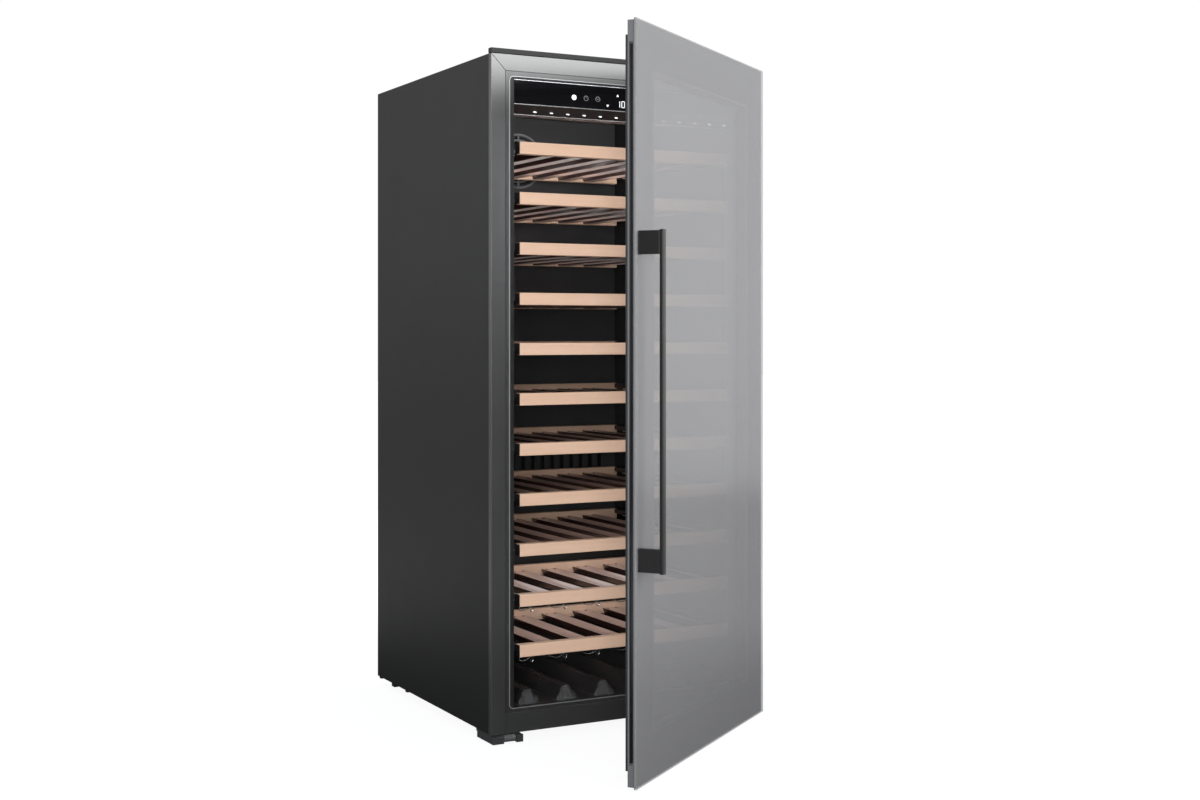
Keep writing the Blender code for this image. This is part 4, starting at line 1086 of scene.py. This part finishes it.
class COOLER_OT_make_door(bpy.types.Operator):
    """Finish the door: glass, printed border, profile, channel linings, spacer bar and seal"""

    bl_idname = "cooler.make_door"
    bl_label = "Door"

    def execute(self, context):
        glass_low, glass_high = closed_box("door_glass")
        frame_low, frame_high = closed_box("door_frame")
        seal_low, seal_high = closed_box("door_gasket")
        pane_low = closed_box("door_inner_pane")[0]

        pane = block("door_front_glass", glass_low, glass_high)
        soften(pane, 0.0006, 2)
        finish_on_door(pane, "smoked_glass", ("door_glass",))
        coat_node("clear_glass", "door_inner_pane")
        coat_node("door_profile", "door_frame")

        # The printed border lies on the back of the glass, from close to its edges inwards
        printed, from_edge, film = 0.075, 0.0003, 0.0001
        print_low = (glass_low.x + from_edge, glass_high.y + film, glass_low.z + from_edge)
        print_high = (glass_high.x - from_edge, glass_high.y + 2 * film, glass_high.z - from_edge)
        border = ring("door_printed_border", print_low, print_high, printed - from_edge)
        finish_on_door(border, "door_print")

        # The profile is a front layer, with a channel down each side, and a carrier behind it
        front_layer, half_channel, channel_end = 0.0122, 0.0034, 0.0376
        channel_y = frame_low.y + (0.0001 + front_layer) / 2
        linings = []
        for side, edge in ((1, frame_low.x), (-1, frame_high.x)):
            left, right = sorted((edge + side * 0.0032, edge + side * 0.0049))
            lining_low = (left, channel_y - half_channel, frame_low.z + channel_end)
            lining_high = (right, channel_y + half_channel, frame_high.z - channel_end)
            lining = block("lining", lining_low, lining_high)
            soften(lining, 0.0004, 2)
            linings.append(lining)
        finish_on_door(merge("door_channel_linings", linings), "black_gloss")
        proud = 0.0005
        edge_low = (seal_low.x - proud, frame_low.y + front_layer + 0.0003, seal_low.z - proud)
        edge_high = (seal_high.x + proud, seal_low.y - 0.0004, seal_high.z + proud)
        carrier = ring("door_carrier_edge", edge_low, edge_high, 0.0004)
        finish_on_door(carrier, "carrier_edge")

        # The spacer bar goes round inside the profile, between the two panes
        inset = printed - (frame_low.x - glass_low.x) + 0.0001
        spacer_low = (frame_low.x + inset, frame_low.y + 0.0002, frame_low.z + inset)
        spacer_high = (frame_high.x - inset, pane_low.y - 0.0002, frame_high.z - inset)
        spacer = ring("door_spacer_bar", spacer_low, spacer_high, 0.007)
        soften(spacer, 0.0006, 2)
        finish_on_door(spacer, "rack_plastic")

        # The seal's layers: where each starts and ends in its depth, how far in it lies and its width
        depth = seal_high.y - seal_low.y
        layers = (
            ("base", 0.0, 0.26, 0.0, 0.013),
            ("neck", 0.22, 0.62, 0.0035, 0.006),
            ("head", 0.58, 1.0, 0.0010, 0.011),
        )
        seal = []
        for layer, near, far, inward, width in layers:
            low = Vector((seal_low.x + inward, seal_low.y + depth * near, seal_low.z + inward))
            high = Vector((seal_high.x - inward, seal_low.y + depth * far, seal_high.z - inward))
            part = ring("seal_" + layer, low, high, width)
            soften(part, 0.0009, 3)
            seal.append(part)
        finish_on_door(merge("door_seal", seal), "seal_rubber", ("door_gasket",))
        proud = 0.0006
        line_low = (seal_low.x - proud, seal_low.y - 0.0002, seal_low.z - proud)
        line_high = (seal_high.x + proud, seal_low.y + 0.0008, seal_high.z + proud)
        line = ring("door_seal_line", line_low, line_high, 0.0016)
        soften(line, 0.0003, 2)
        finish_on_door(line, "seal_edge")
        return {"FINISHED"}


class COOLER_OT_make_handle(bpy.types.Operator):
    """Shape the slim bar handle and its two posts"""

    bl_idname = "cooler.make_handle"
    bl_label = "Handle"

    def execute(self, context):
        rounding = context.scene.cooler_sizes.handle_rounding
        low, high = closed_box("handle_bar")
        bar = block("handle_grip", low, high)
        soften(bar, rounding, 3)
        finish_on_door(bar, "handle_paint", ("handle_bar",))
        for end in ("top", "bottom"):
            low, high = closed_box(f"handle_post_{end}")
            post = block(f"handle_{end}_post", low, high)
            soften(post, rounding * 0.8, 3)
            finish_on_door(post, "handle_paint", (f"handle_post_{end}",))
        return {"FINISHED"}


# ---------------------------------------------------------------- underside and machine


class COOLER_OT_make_fittings(bpy.types.Operator):
    """Finish the hinges, the support roller, the feet and the cooling machine"""

    bl_idname = "cooler.make_fittings"
    bl_label = "Fittings and Machine"

    def execute(self, context):
        coat_node("steel_plate", "top_hinge_bracket", "bottom_hinge_bracket")
        coat_node("bracket_steel", "roller_bracket")
        coat_node("roller_plastic", "support_roller")
        coat_node("foot_rubber", "front_left_foot", "front_right_foot", "rear_left_foot", "rear_right_foot")
        coat_node("pot_enamel", "compressor")
        coat_node("pipe_copper", "condenser")
        coat_node("rack_plastic", "mains_inlet")
        return {"FINISHED"}


# ---------------------------------------------------------------- the stage


# Each light's name, place, aim, width, height and power
STUDIO_LIGHTS = (
    ("overhead", (0.2, -0.6, 3.6), (0.2, -0.6, 0.0), 4.5, 4.5, 100.0),
    ("key", (-1.7, -3.0, 1.1), (0.2, 0.0, 0.5), 1.6, 1.4, 95.0),
    ("right_box", (3.7, 0.6, 1.35), (0.3, -0.2, 1.2), 1.9, 2.5, 18.0),
    ("front_box", (1.25, -2.95, 1.72), (0.1, -0.1, 1.2), 2.0, 1.6, 56.0),
    ("back_box", (-2.3, 2.6, 1.5), (-0.1, 0.1, 0.9), 1.4, 1.6, 6.0),
)

# Each filled shelf's number, the fill's height over its deck, its depth behind the front and its power
SHELF_FILLS = (
    (1, -0.055, 0.24, 0.14),
    (2, -0.055, 0.24, 0.10),
    (3, -0.055, 0.24, 0.05),
    (9, 0.050, 0.24, 0.05),
    (10, 0.030, 0.20, 0.20),
    (11, 0.050, 0.20, 0.16),
)


class COOLER_OT_make_stage(bpy.types.Operator):
    """Set the pale floor, the soft lights and the camera"""

    bl_idname = "cooler.make_stage"
    bl_label = "Stage"

    def execute(self, context):
        scene = context.scene
        bpy.ops.object.select_all(action="DESELECT")
        bpy.ops.mesh.primitive_plane_add(size=40.0, location=(0.0, 0.0, CAD_BOUNDS[0][2] - 0.0005))
        floor = bpy.context.object
        floor.name = "stage_floor"
        settle(floor)
        floor.data.materials.append(material("floor"))

        world = bpy.data.worlds.new("Studio")
        world.use_nodes = True
        tree = world.node_tree
        rays = tree.nodes.new("ShaderNodeLightPath")
        strength = math_node(tree, "MULTIPLY_ADD", rays.outputs["Is Camera Ray"], 0.66, 0.36)
        tree.nodes["Background"].inputs["Color"].default_value = (1.0, 1.0, 1.0, 1.0)
        tree.links.new(strength, tree.nodes["Background"].inputs["Strength"])
        scene.world = world
        scene.view_settings.view_transform = "Standard"

        for name, place, aim, width, height, power in (*STUDIO_LIGHTS, *self.inner_lights()):
            light = bpy.data.lights.new(name, "AREA")
            light.shape = "RECTANGLE"
            light.size = width
            light.size_y = height
            light.energy = power
            lamp = bpy.data.objects.new(name, light)
            lamp.location = place
            lamp.rotation_euler = (Vector(aim) - Vector(place)).to_track_quat("-Z", "Y").to_euler()
            lamp.visible_camera = False
            if name.startswith("inner_"):
                lamp.visible_transmission = False
                lamp.visible_glossy = name.endswith("_glint") or name == "inner_fill_10"
            scene.collection.objects.link(lamp)

        camera = bpy.data.cameras.new("camera")
        camera.lens = CAMERA_LENS
        camera.shift_y = CAMERA_SHIFT
        camera.clip_start = 0.05
        view = bpy.data.objects.new("camera", camera)
        view.location = FRAME_LOW + CAMERA_FROM_CORNER
        view.rotation_euler = (math.pi / 2, 0.0, CAMERA_TURN)
        scene.collection.objects.link(view)
        scene.camera = view
        return {"FINISHED"}

    def inner_lights(self):
        """The lamps' own light and weak fills that stand for the light bouncing about inside."""
        housing_bottom = HOUSING_LOW.z
        lamps = Vector((MIDDLE, FRONT + 0.030, housing_bottom - 0.004))
        wall = Vector((MIDDLE + 0.04, FRONT + 0.10, housing_bottom - 0.020))
        lights = [
            ("inner_lamps", lamps, (MIDDLE, FRONT + 0.10, 0.2), 0.42, 0.012, 0.05),
            ("inner_wall", wall, wall + Vector((0.04, 0.38, -0.02)), 0.30, 0.02, 1.0),
        ]
        for number, rise, behind, power in SHELF_FILLS:
            deck_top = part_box(f"shelf_{number}_deck")[1].z
            to_deck = Vector((0.0, -0.0001, -rise))
            place = Vector((MIDDLE, FRONT + behind, deck_top + rise))
            lights.append((f"inner_fill_{number}", place, place + to_deck, 0.42, 0.26, power))
            if rise < 0.0:
                place = Vector((MIDDLE + 0.06, FRONT + 0.32, deck_top + rise))
                lights.append((f"inner_{number}_glint", place, place + to_deck, 0.36, 0.016, 0.13 / number))
        return lights


# ---------------------------------------------------------------- add-on


MAKERS = (
    COOLER_OT_make_stage,
    COOLER_OT_make_panels,
    COOLER_OT_make_front_frame,
    COOLER_OT_make_control_panel,
    COOLER_OT_make_air_parts,
    COOLER_OT_make_shelves,
    COOLER_OT_make_floor_mat,
    COOLER_OT_make_door,
    COOLER_OT_make_handle,
    COOLER_OT_make_fittings,
)


class COOLER_PT_maker(bpy.types.Panel):
    """The wine cooler's makers, sizes and colours"""

    bl_idname = "COOLER_PT_maker"
    bl_label = "Wine Cooler"
    bl_space_type = "VIEW_3D"
    bl_region_type = "UI"
    bl_category = "Wine Cooler"

    def draw(self, context):
        column = self.layout.column()
        for maker in MAKERS:
            column.operator(maker.bl_idname)
        for group in (context.scene.cooler_sizes, context.scene.cooler_colours):
            for name in group.bl_rna.properties.keys():
                if name not in ("rna_type", "name"):
                    column.prop(group, name)


CLASSES = (CoolerSizes, CoolerColours, *MAKERS, COOLER_PT_maker)


def register():
    for cls in CLASSES:
        bpy.utils.register_class(cls)
    bpy.types.Scene.cooler_sizes = bpy.props.PointerProperty(type=CoolerSizes)
    bpy.types.Scene.cooler_colours = bpy.props.PointerProperty(type=CoolerColours)


def unregister():
    del bpy.types.Scene.cooler_colours
    del bpy.types.Scene.cooler_sizes
    for cls in reversed(CLASSES):
        bpy.utils.unregister_class(cls)


def main():
    """Make every piece."""
    register()
    bpy.ops.cooler.make_stage()
    bpy.ops.cooler.make_panels()
    bpy.ops.cooler.make_front_frame()
    bpy.ops.cooler.make_control_panel()
    bpy.ops.cooler.make_air_parts()
    bpy.ops.cooler.make_shelves()
    bpy.ops.cooler.make_floor_mat()
    bpy.ops.cooler.make_door()
    bpy.ops.cooler.make_handle()
    bpy.ops.cooler.make_fittings()


if __name__ == "__main__":
    main()
